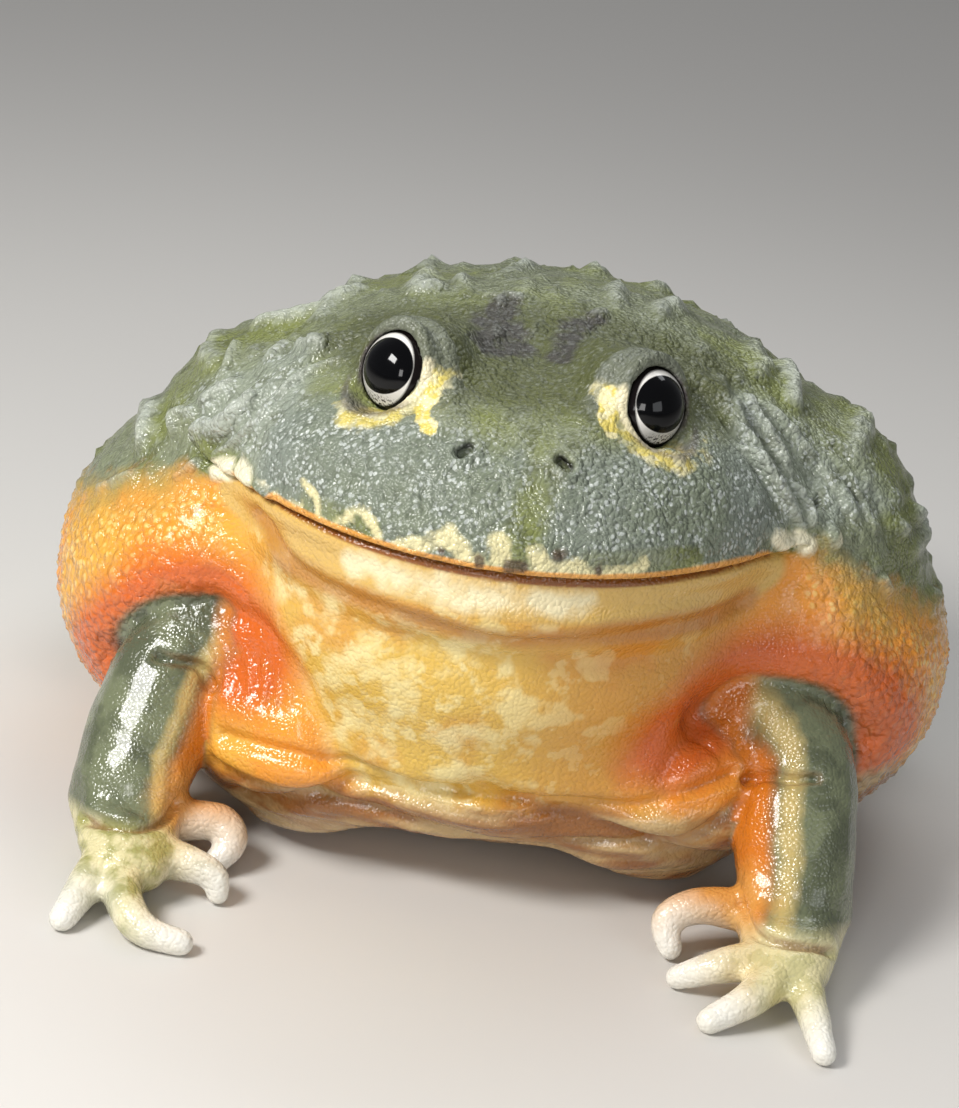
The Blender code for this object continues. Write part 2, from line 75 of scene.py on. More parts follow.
# Camera, light and floor

view = {
    "target": (-3.6, 14.0, 74.0),
    "distance": 430.0,
    "elevation": 22.0,
    "roll": 8.0,
    "lens": 85.2,
}

lamps = {
    "key": {"place": (-330, -190, 430), "size": (210, 150), "power": 3.3, "colour": (1.0, 0.985, 0.96)},
    "fill": {"place": (420, -380, 260), "size": (300, 220), "power": 0.5, "colour": (0.94, 0.97, 1.0)},
    "rim": {"place": (60, 330, 430), "size": (360, 120), "power": 0.5, "colour": (0.95, 0.98, 1.0)},
    "front": {"place": (-60, -540, 240), "size": (130, 200), "power": 0.7, "colour": (1.0, 0.98, 0.96)},
    "sky": {"place": (0, 800, 1500), "size": (1900, 1500), "power": 8.0, "colour": (0.98, 0.99, 1.0),
            "matte": True},
}

studio = {"aim": (0, 60, 50), "colour": (0.86, 0.88, 0.92), "strength": 0.17}

floorLook = {
    "size": 6.0,
    "surface": {"Base Color": (0.64, 0.62, 0.59, 1), "Roughness": 0.6},
}


def addCamera():
    tilt = math.radians(view["elevation"])
    back = Vector((0, -math.cos(tilt), math.sin(tilt)))
    bpy.ops.object.camera_add(location=at(view["target"]) + back * view["distance"] * mm)
    camera = bpy.context.object
    camera.name = "camera"
    camera.rotation_mode = "QUATERNION"
    roll = Quaternion(-back, -math.radians(view["roll"]))
    camera.rotation_quaternion = roll @ (-back).to_track_quat("-Z", "Y")
    camera.data.sensor_width = 36
    camera.data.lens = view["lens"]
    camera.data.clip_start = 0.01
    bpy.context.scene.camera = camera


def addLights():
    for name, look in lamps.items():
        place = at(look["place"])
        bpy.ops.object.light_add(type="AREA", location=place)
        lamp = bpy.context.object
        lamp.name = name
        lamp.data.shape = "RECTANGLE"
        lamp.data.size = look["size"][0] * mm
        lamp.data.size_y = look["size"][1] * mm
        lamp.data.energy = look["power"]
        lamp.data.color = look["colour"]
        lamp.visible_glossy = not look.get("matte", False)
        lamp.rotation_mode = "QUATERNION"
        lamp.rotation_quaternion = (at(studio["aim"]) - place).to_track_quat("-Z", "Y")
    world = bpy.data.worlds.new("studio")
    world.use_nodes = True
    background = world.node_tree.nodes["Background"]
    background.inputs["Color"].default_value = (*studio["colour"], 1)
    background.inputs["Strength"].default_value = studio["strength"]
    bpy.context.scene.world = world
    bpy.context.scene.view_settings.view_transform = "Standard"


def newMaterial(name):
    material = bpy.data.materials.new(name)
    material.use_nodes = True
    return material, material.node_tree, material.node_tree.nodes["Principled BSDF"]


def setInputs(node, values):
    for name, value in values.items():
        node.inputs[name].default_value = value


def addFloor():
    bpy.ops.mesh.primitive_plane_add(size=floorLook["size"])
    floor = bpy.context.object
    floor.name = "floor"
    material, tree, shader = newMaterial("paleFloor")
    setInputs(shader, floorLook["surface"])
    floor.data.materials.append(material)


# Modelling helpers

def deselect():
    bpy.ops.object.select_all(action="DESELECT")


def pick(obj):
    deselect()
    obj.select_set(True)
    bpy.context.view_layer.objects.active = obj


def applied(obj, kind, **settings):
    pick(obj)
    modifier = obj.modifiers.new(kind.title(), kind)
    for name, value in settings.items():
        setattr(modifier, name, value)
    bpy.ops.object.modifier_apply(modifier=modifier.name)


def smoothPath(points, radii, steps=6):
    # points and radii of a smooth curve through the given ones
    last = len(points) - 1
    out = []
    for i in range(last):
        p = [Vector(points[max(0, min(last, i + k))]) for k in (-1, 0, 1, 2)]
        r = [radii[max(0, min(last, i + k))] for k in (-1, 0, 1, 2)]
        for s in range(steps):
            t = s / steps
            w = (-0.5 * t + t * t - 0.5 * t ** 3, 1 - 2.5 * t * t + 1.5 * t ** 3,
                 0.5 * t + 2 * t * t - 1.5 * t ** 3, -0.5 * t * t + 0.5 * t ** 3)
            spot = sum((p[k] * w[k] for k in range(4)), Vector())
            out.append((spot, sum(r[k] * w[k] for k in range(4))))
    out.append((Vector(points[-1]), radii[-1]))
    return out


def lump(centre, radii, segments=48, rings=28):
    deselect()
    bpy.ops.mesh.primitive_uv_sphere_add(segments=segments, ring_count=rings, radius=mm,
                                         location=at(centre), scale=radii)
    return bpy.context.object


def limb(points, radii):
    # a round tube along a smooth path, with a ball at each end
    path = smoothPath(points, radii)
    deselect()
    bpy.ops.curve.primitive_bezier_curve_add(location=(0, 0, 0))
    tube = bpy.context.object
    curve = tube.data
    curve.splines.clear()
    spline = curve.splines.new("POLY")
    spline.points.add(len(path) - 1)
    for point, (spot, radius) in zip(spline.points, path):
        point.co = (*at(spot), 1)
        point.radius = radius
    curve.dimensions = "3D"
    curve.bevel_depth = mm
    curve.bevel_resolution = 5
    curve.use_fill_caps = True
    bpy.ops.object.convert(target="MESH")
    return [tube] + [lump(spot, (radius,) * 3, 24, 16) for spot, radius in (path[0], path[-1])]


def flatLimb(points, radii, wide, high):
    # a palm or sole: overlapping flat balls along a path
    return [lump(spot, (radius * wide, radius, radius * high), 24, 16)
            for spot, radius in smoothPath(points, radii, 5)]


def joined(name, pieces):
    pick(pieces[0])
    for piece in pieces[1:]:
        piece.select_set(True)
    bpy.ops.object.join()
    whole = bpy.context.object
    whole.name = name
    whole.data.name = name
    bpy.ops.object.transform_apply(location=True, rotation=True, scale=True)
    return whole


def press(name, pieces, voxel, smoothing):
    whole = joined(name, pieces)
    applied(whole, "REMESH", mode="VOXEL", voxel_size=voxel * mm)
    applied(whole, "SMOOTH", factor=0.5, iterations=smoothing)
    return whole


def carve(body, tools, operation):
    tool = joined("tool", tools)
    applied(body, "BOOLEAN", operation=operation, solver="MANIFOLD", object=tool)
    bpy.data.objects.remove(tool, do_unlink=True)


# The masses of the body, as ellipsoids: centre, then radii

trunk = {
    "voxel": 2.0,
    "smoothing": 34,
    "middle": [
        ((5, 102, 47), (70, 59, 50)),
        ((5, 128, 41), (61, 49, 43)),
        ((5, 148, 36), (49, 45, 36)),
        ((5, 83, 57), (66, 47, 44)),
        ((2, 77, 27), (59, 53, 28)),
        ((0, 60, 48), (48, 41, 31)),
        ((0, 68, 72), (53, 53, 26)),
    ],
    # middle x, distance from it, y, z, radii
    "pairs": [
        (2.2, 50.8, 86, 36.5, (36, 45, 35)),
        (2, 30, 72, 23, (34, 45, 24.5)),
        (5, 45, 84, 60, (29, 36, 27)),
        (4, 38, 114, 40, (37, 40, 37)),
    ],
}

mouth = {
    "front": 14.0,       # y of the upper lip
    "height": 70.0,
    "cornerHeight": 66.0,
    "halfWidth": 51.0,
    "length": 54.0,
}


def mouthZ(y):
    back = np.maximum(0.0, (y - mouth["front"] - 12.0) / (mouth["length"] - 12.0))
    return mouth["height"] + (mouth["cornerHeight"] - mouth["height"]) * back ** 1.5


def jawPath(inset, drop, reach=1.0, turns=17):
    points = []
    for i in range(turns):
        a = (2 * i / (turns - 1) - 1) * reach * math.pi / 2
        y = mouth["front"] + inset + (mouth["length"] - inset) * (1 - math.cos(a))
        points.append(((mouth["halfWidth"] - inset) * math.sin(a), y, float(mouthZ(y)) - drop))
    return points


face = {
    "voxel": 1.6,
    "smoothing": 5,
    "behind": 2.4,           # how far an eye's mass lies behind the middle of the eyeball
    "round": (10.4, 10.4, 10.4),
    "brow": ((15.8, 57.0, 90.0), (12.0, 11.5, 10.0)),
    # inset and drop from the line of the mouth, and radius
    "lip": (4.5, -3.6, 4.5),
    "chin": (7.8, 7.8, 5.2),
    "chinSwell": 2.4,        # how much thicker the chin is in front
}


def buildTrunk():
    pieces = [lump(centre, radii) for centre, radii in trunk["middle"]]
    for side in sides.values():
        for middle, out, y, z, radii in trunk["pairs"]:
            pieces.append(lump((middle + out * side, y, z), radii))
    pieces = [press("trunk", pieces, trunk["voxel"], trunk["smoothing"])]
    gaze = Vector(eye["gaze"]).normalized()
    brow, browRadii = face["brow"]
    for side in sides.values():
        pieces.append(lump(mirrored(Vector(eye["centre"]) - face["behind"] * gaze, side), face["round"]))
        pieces.append(lump(mirrored(brow, side), browRadii))
    inset, drop, radius = face["lip"]
    lip = jawPath(inset, drop)
    pieces += limb(lip, [radius] * len(lip))
    inset, drop, radius = face["chin"]
    chin = jawPath(inset, drop)
    turns = [math.pi * (i / (len(chin) - 1) - 0.5) for i in range(len(chin))]
    pieces += limb(chin, [radius + face["chinSwell"] * math.cos(turn) for turn in turns])
    whole = press("body", pieces, face["voxel"], face["smoothing"])
    applied(whole, "SUBSURF", levels=1, render_levels=1)
    return whole


arms = {
    "right": {
        "arm": [(-34, 64, 42), (-53.5, 50, 33.5), (-58, 41, 21.5), (-60, 33, 12.5)],
        "palm": [(-60, 31, 10), (-57, 16, 6)],
        "fingers": [
            [(-51, 31, 8), (-43, 32.5, 8), (-40.5, 30, 5), (-43, 27, 2.4)],
            [(-54, 21, 6), (-47, 19.5, 6), (-42, 18.5, 5), (-40.8, 17.5, 2.2)],
            [(-58, 15, 6), (-55, 5, 4.5), (-51, 0.5, 3), (-44.5, -0.5, 2.0)],
            [(-61, 16, 6), (-63.5, 8, 4), (-65.2, 2, 2.0)],
        ],
        # the yellow border down its front: from, to and half width, in shares of the arm's radius
        "border": (0.40, 0.62, 0.22),
        "wrist": [(-66.4, 21.4, 11), (-60.9, 18.8, 10.6), (-55.6, 18.7, 11), (-51.9, 23.3, 11.9),
                  (-50.3, 28.4, 13)],
        "elbow": [(-57.8, 38.9, 36.1), (-54.9, 38.9, 35.6), (-50.4, 40.2, 34.3), (-47.6, 39.6, 31)],
        # path of the painted shade in the pocket over the elbow
        "pocketShade": [(-64.6, 43, 35), (-62, 43.5, 38), (-58.5, 46, 41.5), (-53, 46, 43.5), (-46.6, 44.1, 42.7)],
    },
    "left": {
        "arm": [(34, 62, 42), (57, 46, 32.5), (59.3, 36.5, 20.5), (60.6, 29, 12)],
        "palm": [(60.5, 27, 10), (59, 12, 6)],
        "fingers": [
            [(53, 27, 8), (44, 25, 9), (38, 22.5, 6.5), (39.5, 20, 2.4)],
            [(55, 14, 6), (48, 10.5, 6), (40.4, 10.8, 2.2)],
            [(57, 9, 6), (52, 2.5, 4.5), (45.7, -1.7, 2.0)],
            [(61, 12, 6), (63, 4, 4.5), (65, -6.6, 2.0)],
        ],
        "border": (0.05, 0.46, 0.34),
        "wrist": [(50, 22.4, 12), (52.6, 14.8, 10.8), (58.5, 11.6, 10.9), (66.8, 13.7, 9.6)],
        "elbow": [(60.9, 33.1, 33), (56.1, 33, 32.1), (51.8, 35.6, 30.8), (49, 36.5, 29)],
        # path of the painted shade in the pocket over the elbow
        "pocketShade": [(38, 38, 38), (42.6, 43.2, 40), (50.9, 42.9, 43), (59.5, 43.2, 42.4), (65, 42, 38.5)],
    },
    "radii": [14, 10.2, 11.3, 10.4],
    "palmRadii": [8.4, 6.0],
    "palmShape": (1.28, 0.85),    # width and height of the palm, in shares of its radius
    "fingerRadii": (3.9, 2.35),
    "voxel": 0.8,
    "smoothing": 4,
}


def buildArm(name):
    plan = arms[name]
    pieces = limb(plan["arm"], arms["radii"])
    pieces += flatLimb(plan["palm"], arms["palmRadii"], *arms["palmShape"])
    thick, thin = arms["fingerRadii"]
    for finger in plan["fingers"]:
        last = len(finger) - 1
        pieces += limb(finger, [thick + (thin - thick) * i / last for i in range(last + 1)])
    return press("arm" + name.title(), pieces, arms["voxel"], arms["smoothing"])


legs = {
    "thigh": [(22, 160, 36), (51, 144, 33), (72, 122, 27)],
    "thighRadii": [25, 23, 14.5],
    "shank": [(71, 125, 19), (64, 153, 17), (47, 183, 11.5)],
    "shankRadii": [12, 12.5, 8.5],
    "sole": [(47, 184, 9), (61, 170, 6.2), (76, 142, 5)],
    "soleRadii": [8, 6.5, 5],
    "soleShape": (1.1, 0.8),
    "spade": ((57, 176, 4.0), (3.4, 5.0, 3.6)),   # the digging tubercle on the heel
    "toes": [
        [(70, 152, 5), (77, 151, 4), (81, 147, 1.9)],
        [(73, 148, 5), (78, 140, 3.5), (82, 133, 1.9)],
        [(75, 144, 5), (79, 128, 3.5), (81, 116, 1.9)],
        [(74, 142, 5), (75, 122, 3.5), (77, 106, 1.9)],
        [(71, 142, 5), (69, 126, 3.5), (69, 114, 1.9)],
    ],
    "toeRadii": [4.0, 3.3, 2.6],
    "voxel": 1.0,
    "smoothing": 5,
}


def buildLeg(name):
    side = sides[name]

    def place(points):
        return [mirrored(point, side) for point in points]
    pieces = limb(place(legs["thigh"]), legs["thighRadii"])
    pieces += limb(place(legs["shank"]), legs["shankRadii"])
    pieces += flatLimb(place(legs["sole"]), legs["soleRadii"], *legs["soleShape"])
    centre, radii = legs["spade"]
    pieces.append(lump(mirrored(centre, side), radii))
    for toe in legs["toes"]:
        pieces += limb(place(toe), legs["toeRadii"])
    return press("leg" + name.title(), pieces, legs["voxel"], legs["smoothing"])


# Sculpting: strokes raise or sink the skin along paths laid on it

def readPlaces(obj):
    mesh = obj.data
    places = np.empty(len(mesh.vertices) * 3)
    mesh.vertices.foreach_get("co", places)
    normals = np.empty(len(mesh.vertices) * 3)
    mesh.vertices.foreach_get("normal", normals)
    return places.reshape(-1, 3) / mm - np.array(origin) / mm, normals.reshape(-1, 3)


def writePlaces(obj, places):
    obj.data.vertices.foreach_set("co", (places * mm + np.array(origin)).reshape(-1))
    obj.data.update()


def treeOf(obj):
    faces = [tuple(face.vertices) for face in obj.data.polygons]
    return BVHTree.FromPolygons(readPlaces(obj)[0].tolist(), faces)


def lookup(places):
    kd = KDTree(len(places))
    for index, place in enumerate(places):
        kd.insert(place, index)
    kd.balance()
    return kd


def laidOn(tree, path, steps=6):
    line = [point for point, radius in smoothPath(path, [1.0] * len(path), steps)]
    if tree is not None:
        line = [tree.find_nearest(point)[0] for point in line]
    return np.array([tuple(point) for point in line])


def fromLine(places, line):
    # distance to a line of points, and how far along it, from 0 to 1
    best = np.full(len(places), 1e9)
    share = np.zeros(len(places))
    count = len(line) - 1
    for i in range(count):
        step = line[i + 1] - line[i]
        t = np.clip(((places - line[i]) @ step) / max(step @ step, 1e-9), 0, 1)
        away = np.linalg.norm(places - (line[i] + t[:, None] * step), axis=1)
        closer = away < best
        best[closer] = away[closer]
        share[closer] = (i + t[closer]) / count
    return best, share


def stroke(path, width, height, fade=0.0, ring=0.0):
    return {"path": path, "width": width, "height": height, "fade": fade, "ring": ring}


def sculpt(obj, strokes):
    tree = treeOf(obj)
    places, normals = readPlaces(obj)
    lift = np.zeros(len(places))
    for one in strokes:
        line = laidOn(tree, one["path"])
        reach = one["ring"] + 3 * one["width"]
        inBox = np.all((places > line.min(axis=0) - reach) & (places < line.max(axis=0) + reach), axis=1)
        close = np.where(inBox)[0]
        away, share = fromLine(places[close], line)
        shape = np.exp(-((away - one["ring"]) / one["width"]) ** 2)
        if one["fade"]:
            shape *= ramp(np.minimum(share, 1 - share), 0, one["fade"])
        lift[close] += one["height"] * shape
    writePlaces(obj, places + normals * lift[:, None])


def ramp(values, low, high):
    t = np.clip((values - low) / (high - low), 0, 1)
    return t * t * (3 - 2 * t)


def fan(first, last, count, width, height, seed, wander=0.6):
    # wrinkles spread evenly between two paths
    rng = np.random.default_rng(seed)
    strokes = []
    for i in range(count):
        t = (i + rng.uniform(-0.25, 0.25)) / max(1, count - 1)
        path = [tuple(np.array(a) * (1 - t) + np.array(b) * t + rng.uniform(-wander, wander, 3))
                for a, b in zip(first, last)]
        strokes.append(stroke(path, width * rng.uniform(0.8, 1.25), height * rng.uniform(0.6, 1.2), 0.3))
    return strokes


folds = [
    # path, width and height
    # groove under the lower lip
    ([(-42, 41, 65), (-32, 27, 59), (-20, 19, 59), (-8, 16, 58), (0, 15, 57),
      (10, 16, 57), (20, 19, 59), (32, 27, 60), (43, 42, 60)], 2.0, -1.3),
    # edges of the throat, and the fold under it
    ([(-51, 44, 45), (-39, 38, 44), (-31, 33, 38), (-25, 35, 27), (-21, 35, 23)], 2.4, -1.6),
    ([(33, 38, 26), (35, 38, 33), (40, 41, 38)], 2.4, -1.6),
    ([(-36, 44, 19), (-21, 35, 22), (-3, 30, 24), (2, 29, 26), (9, 30, 24),
      (18, 33, 22), (34, 40, 21), (47, 51, 17)], 2.6, -2.6),
    ([(-34, 48, 13), (-14, 37, 17), (6, 34, 18), (25, 39, 16), (40, 50, 12)], 4.0, 1.8),
    ([(-24, 46, 8), (-2, 40, 11), (20, 42, 11)], 2.6, -1.2),
    # pockets over the elbows, and the swollen shoulders above them
    ([(-66, 52, 29), (-62, 47, 37), (-57, 45, 42), (-50, 44, 45)], 4.2, -3.6),
    ([(38, 40, 38), (46, 43, 42), (56, 43, 43), (64, 45, 41), (70, 49, 34)], 4.2, -3.6),
    ([(-52, 46, 55), (-58, 50, 57)], 9.0, 2.2),
    ([(52, 46, 55), (60, 52, 56)], 9.0, 2.0),
    # from behind each eye to the corner of the mouth
    ([(29, 63, 92), (36, 60, 90), (39, 55, 87), (43, 51, 82), (49, 52, 75), (54, 58, 69)], 2.6, 2.0),
    ([(-29, 63, 92), (-36, 60, 90), (-41, 54, 86), (-47, 52, 78), (-53, 57, 70)], 2.6, 1.8),
    # from each eye to the nostril, and the hollow between the eyes
    ([(14, 40, 92), (11, 31, 89)], 3.2, 1.0),
    ([(-14, 40, 92), (-11, 31, 89)], 3.2, 1.0),
    ([(0, 44, 95), (0, 56, 97)], 7.0, -1.6),
]

lids = {
    "opening": 7.4,       # radius of the ball that opens them
    "openingAhead": 8.4,
    "ahead": 4.25,
    "ring": 7.42,
    "thickness": 1.35,
    "turnIn": 0.02,       # the opening looks a little inwards of the pupil
    "turnDown": 0.02,
    "tall": (0.92, 1.12, 1.0),
    "clearance": 0.12,
    # a groove and a roll round them: radius, place ahead, width, height
    "rings": ((10.2, 2.2, 0.8, -0.25), (11.8, 1.0, 1.2, 0.3)),
}


def eyeAxes(side):
    gaze = mirrored(Vector(eye["gaze"]).normalized(), side)
    up = (Vector((0, 0, 1)) - gaze * gaze.z).normalized()
    out = gaze.cross(up) * side
    out = out if out.x * side > 0 else -out
    return gaze, up, out


def fromEye(places, side):
    # places seen along the gaze: ahead of the eye's middle, away from the gaze, high and outwards
    gaze, up, out = (np.array(axis) for axis in eyeAxes(side))
    offset = places - np.array(mirrored(eye["centre"], side))
    ahead = offset @ gaze
    across = np.linalg.norm(offset - np.outer(ahead, gaze), axis=1)
    return ahead, across, offset @ up, offset @ out


def aroundEye(places, side, inner, outer):
    away = np.linalg.norm(places - np.array(mirrored(eye["centre"], side)), axis=1)
    return 1 - ramp(away, inner, outer)


def openEyes(body):
    fronts, rims, sockets = [], [], []
    for side in sides.values():
        centre = mirrored(eye["centre"], side)
        gaze, up, out = eyeAxes(side)
        axis = (gaze - out * lids["turnIn"] - up * lids["turnDown"]).normalized()
        turned = axis.to_track_quat("Z", "Y").to_euler()
        deselect()
        bpy.ops.mesh.primitive_uv_sphere_add(
            segments=64, ring_count=40, radius=lids["opening"] * mm, location=at(centre + axis * lids["openingAhead"]),
            rotation=turned, scale=lids["tall"])
        fronts.append(bpy.context.object)
        deselect()
        bpy.ops.mesh.primitive_torus_add(
            location=at(centre + axis * lids["ahead"]), rotation=turned, major_segments=72, minor_segments=20,
            major_radius=lids["ring"] * mm, minor_radius=lids["thickness"] * mm)
        bpy.context.object.scale = lids["tall"]
        rims.append(bpy.context.object)
        sockets.append(lump(centre, (eye["radius"] + lids["clearance"],) * 3, 64, 40))
    carve(body, fronts, "DIFFERENCE")
    carve(body, rims, "UNION")
    carve(body, sockets, "DIFFERENCE")


skin = {
    "voxel": 0.68,
    "smoothing": 3,
    "triangles": 194000,
}

ridges = {
    # length, width and height of the raised skin
    "sizes": {"long": (26, 7.0, 3.0), "middle": (18, 6.6, 2.8), "short": (11, 6.2, 2.5), "wart": (7, 6.2, 2.2)},
    "order": ("long", "middle", "short", "wart", "long", "middle"),
    # angle round the back, first y and last y
    "rows": [(-74, 62, 100), (-57, 66, 118), (-41, 70, 150), (-25, 74, 158), (-9, 78, 150),
             (8, 78, 156), (24, 74, 158), (40, 68, 150), (57, 64, 118), (74, 62, 100)],
    "seed": 7,
    "axis": (4, 42),         # x and z of the line that the angles turn round
    "straight": 112,         # behind this y the rows bend round the rump
    "bend": 0.024,
    "start": 6,              # at most so far behind the row's first y
    "gap": (5, 11),
    "sway": (4, 0.25),       # in the angle, in degrees, and in the direction
    # half length, width and height of the low part under the knobs, in shares of the ridge's own
    "low": (0.34, 0.30, 0.45),
    "knobTall": (0.6, 1.0),
    "knobTaper": 0.35,
    "knobAside": 0.9,
    "knobHalf": (0.2, 1.6),
    "knobWidth": (0.28, 0.38),
    "knobStep": (2.6, 4.4),
    "frontSize": (0.75, 1.05),
    "frontShape": (0.9, 1.35),
    # the ones in front one by one: path, width, height
    "front": [
        ([(-49, 84, 84), (-45, 84, 86.5), (-40, 85, 89.5)], 3.0, 2.0),
        ([(-38, 86, 90.5), (-35.3, 87.6, 92.4), (-33, 90, 93)], 2.4, 2.0),
        ([(-45.8, 66.1, 84.8), (-43.9, 69.7, 86.4)], 2.0, 1.3),
        ([(-32.3, 52.8, 90.9), (-36.9, 52, 88.6), (-42.1, 49.1, 84.4), (-45, 46.2, 79.4),
          (-49.6, 50.3, 73.6), (-52.3, 51.7, 70.4)], 1.4, 1.2),
        ([(-46.5, 51.5, 82), (-50.9, 52.3, 76.8), (-56, 58.8, 71.9)], 2.2, 1.9),
        ([(-52.1, 64, 79.5), (-56.1, 64.3, 75.9)], 2.2, 1.6),
        ([(-67, 77.2, 68), (-68, 69.3, 64.5)], 2.4, 2.2),
        ([(-58.8, 64.2, 73.3), (-62, 67.2, 71.2), (-61.7, 65, 69.7)], 1.8, 1.5),
        ([(-56.1, 55.4, 66.6), (-59.2, 56.2, 63.6)], 1.5, 1.4),
        ([(-68.6, 63.7, 59.4), (-74.6, 67.1, 54.9)], 1.7, 1.3),
        ([(-36.9, 58.6, 91.5), (-40.1, 64.7, 88.5)], 2.0, 1.4),
        ([(-53.5, 76.8, 82.8), (-53.6, 70.8, 81.2)], 1.8, 1.5),
        ([(-22, 80, 97), (-18, 81.5, 97.5)], 2.6, 1.6),
        ([(-14.1, 83.3, 98.6), (-13.5, 86, 98.5)], 1.8, 1.4),
        ([(-9.3, 75.6, 99), (-5.8, 76.3, 99.6), (-2.6, 75.6, 99.8)], 1.2, 1.0),
        ([(11.1, 72.6, 99.4), (12.5, 74.5, 99)], 1.8, 1.3),
        ([(40.2, 64.6, 89.9), (43.1, 60.9, 87), (47, 58, 83.1), (50.2, 54.7, 78.5),
          (53.6, 50.9, 74.3)], 1.7, 1.5),
        ([(36.5, 55.2, 90.2), (40.1, 50.8, 87.3), (44.1, 48.8, 84.1), (47.9, 48.4, 79),
          (52.2, 50, 73.2)], 1.4, 1.2),
        ([(44.3, 66.7, 88.2), (49.7, 65.4, 84.8), (53, 63.3, 82.1)], 1.6, 1.4),
        ([(47.5, 85, 90), (48.6, 79.9, 89.2), (49, 73.6, 88.2)], 2.6, 2.2),
        ([(62, 77.1, 84.7), (62.6, 79.5, 84)], 2.0, 2.0),
        ([(75, 74.1, 70.1), (75.8, 76, 69)], 2.0, 2.0),
        ([(71.4, 65.2, 70.2), (72, 67, 69)], 1.8, 1.4),
        ([(58.5, 51.3, 71.7), (59, 52.3, 70)], 1.4, 1.4),
        ([(69, 57, 62.6), (70, 57.8, 60.6)], 1.4, 1.4),
        ([(82, 74, 55), (82.4, 74.8, 53)], 1.4, 1.4),
    ],
}


def ridgeSpots(tree):
    rng = np.random.default_rng(ridges["seed"])
    chips = np.random.default_rng(ridges["seed"] + 1)
    axisX, axisZ = ridges["axis"]
    sway, turn = ridges["sway"]
    lowLength, lowWidth, lowHeight = ridges["low"]
    frontWidth, frontHeight = ridges["frontShape"]
    spots = []
    for angle, start, stop in ridges["rows"]:
        y = start + rng.uniform(0, ridges["start"])
        while y < stop:
            kind = ridges["order"][int(rng.integers(0, len(ridges["order"])))]
            length, width, height = ridges["sizes"][kind]
            tilt = math.radians(angle + rng.uniform(-sway, sway))
            centre = y + length / 2
            lean = max(0, centre - ridges["straight"]) * ridges["bend"]
            hit = tree.ray_cast(Vector((axisX, min(centre, ridges["straight"]), axisZ)),
                                Vector((math.sin(tilt), math.tan(lean), math.cos(tilt))).normalized())
            along = Vector((rng.uniform(-turn, turn), 1, 0))
            along = (along - hit[1] * along.dot(hit[1])).normalized()
            aside = along.cross(hit[1])
            # a ridge is a chain of knobs of uneven size on a low rise
            reach = length * lowLength
            spots.append((hit[0], along, reach, width * lowWidth, height * lowHeight))
            knob = -reach
            while knob <= reach:
                tall = height * chips.uniform(*ridges["knobTall"])
                tall *= 1 - ridges["knobTaper"] * abs(knob) / max(reach, 1)
                off = chips.uniform(-ridges["knobAside"], ridges["knobAside"])
                spots.append((hit[0] + along * knob + aside * off, along, chips.uniform(*ridges["knobHalf"]),
                              width * chips.uniform(*ridges["knobWidth"]), tall))
                knob += chips.uniform(*ridges["knobStep"])
            y += length + rng.uniform(*ridges["gap"])
    for path, width, height in ridges["front"]:
        line = laidOn(tree, path, 4)
        for a, b in zip(line, line[1:]):
            step = Vector(b - a)
            size = chips.uniform(*ridges["frontSize"])
            spots.append((Vector((a + b) / 2), step.normalized(), step.length / 2,
                          width * frontWidth * size, height * size * frontHeight))
    return spots


def scatter(places, allowed, spacing, seed):
    # picks points of the skin at least a spacing apart
    rng = np.random.default_rng(seed)
    around = list(itertools.product((-1, 0, 1), repeat=3))
    taken = {}
    chosen = []
    for index in rng.permutation(np.where(allowed)[0]):
        spot = places[index]
        x, y, z = (spot // spacing).astype(int)
        others = [other for dx, dy, dz in around for other in taken.get((x + dx, y + dy, z + dz), ())]
        if all(np.sum((other - spot) ** 2) >= spacing * spacing for other in others):
            taken.setdefault((x, y, z), []).append(spot)
            chosen.append(index)
    return chosen


def raiseSpots(places, lift, kd, spots):
    # each spot: centre, direction, half length, width, height
    for centre, along, half, width, height in spots:
        found = kd.find_range(centre, half + 2.6 * width)
        if not found:
            continue
        index = np.array([item[1] for item in found])
        offset = places[index] - np.array(centre)
        if half > 0:
            line = np.array(along)
            offset = offset - np.outer(np.clip(offset @ line, -half, half), line)
        away = np.linalg.norm(offset, axis=1)
        lift[index] = np.maximum(lift[index], height * np.exp(-(away / width) ** 2))


# the lower edge of the back's green
greenEdge = {
    "axis": 2,
    "flat": 50,       # beyond this distance from the axis it sinks
    "sink": 0.5,
    "rump": 16,       # its height at the rump
    "rear": (105, 165),
}


def boundary(places):
    # its height: level with the mouth in front, low at the rump
    x, y = places[:, 0], places[:, 1]
    out = np.maximum(0, np.abs(x - greenEdge["axis"]) - greenEdge["flat"])
    level = mouthZ(np.maximum(y, mouth["front"])) - greenEdge["sink"] * out
    return level + (greenEdge["rump"] - level) * ramp(y, *greenEdge["rear"])


def buildSkin():
    body = buildTrunk()
    print("trunk and face pressed:", len(body.data.vertices), "points")
    sculpt(body, [stroke(*fold) for fold in folds])
    openEyes(body)
    parts = {"body": body}
    for name in sides:
        parts["arm" + name] = buildArm(name)
        parts["leg" + name] = buildLeg(name)
    trees = {name: treeOf(part) for name, part in parts.items()}
    whole = press("skin", list(parts.values()), skin["voxel"], skin["smoothing"])
    print("skin pressed together:", len(whole.data.vertices), "points")
    return whole, trees


lumps = {
    "upper": {"size": 0.0090, "depth": 3, "strength": 0.0011},
    "lower": {"size": 0.0120, "depth": 2, "strength": 0.0009},
}


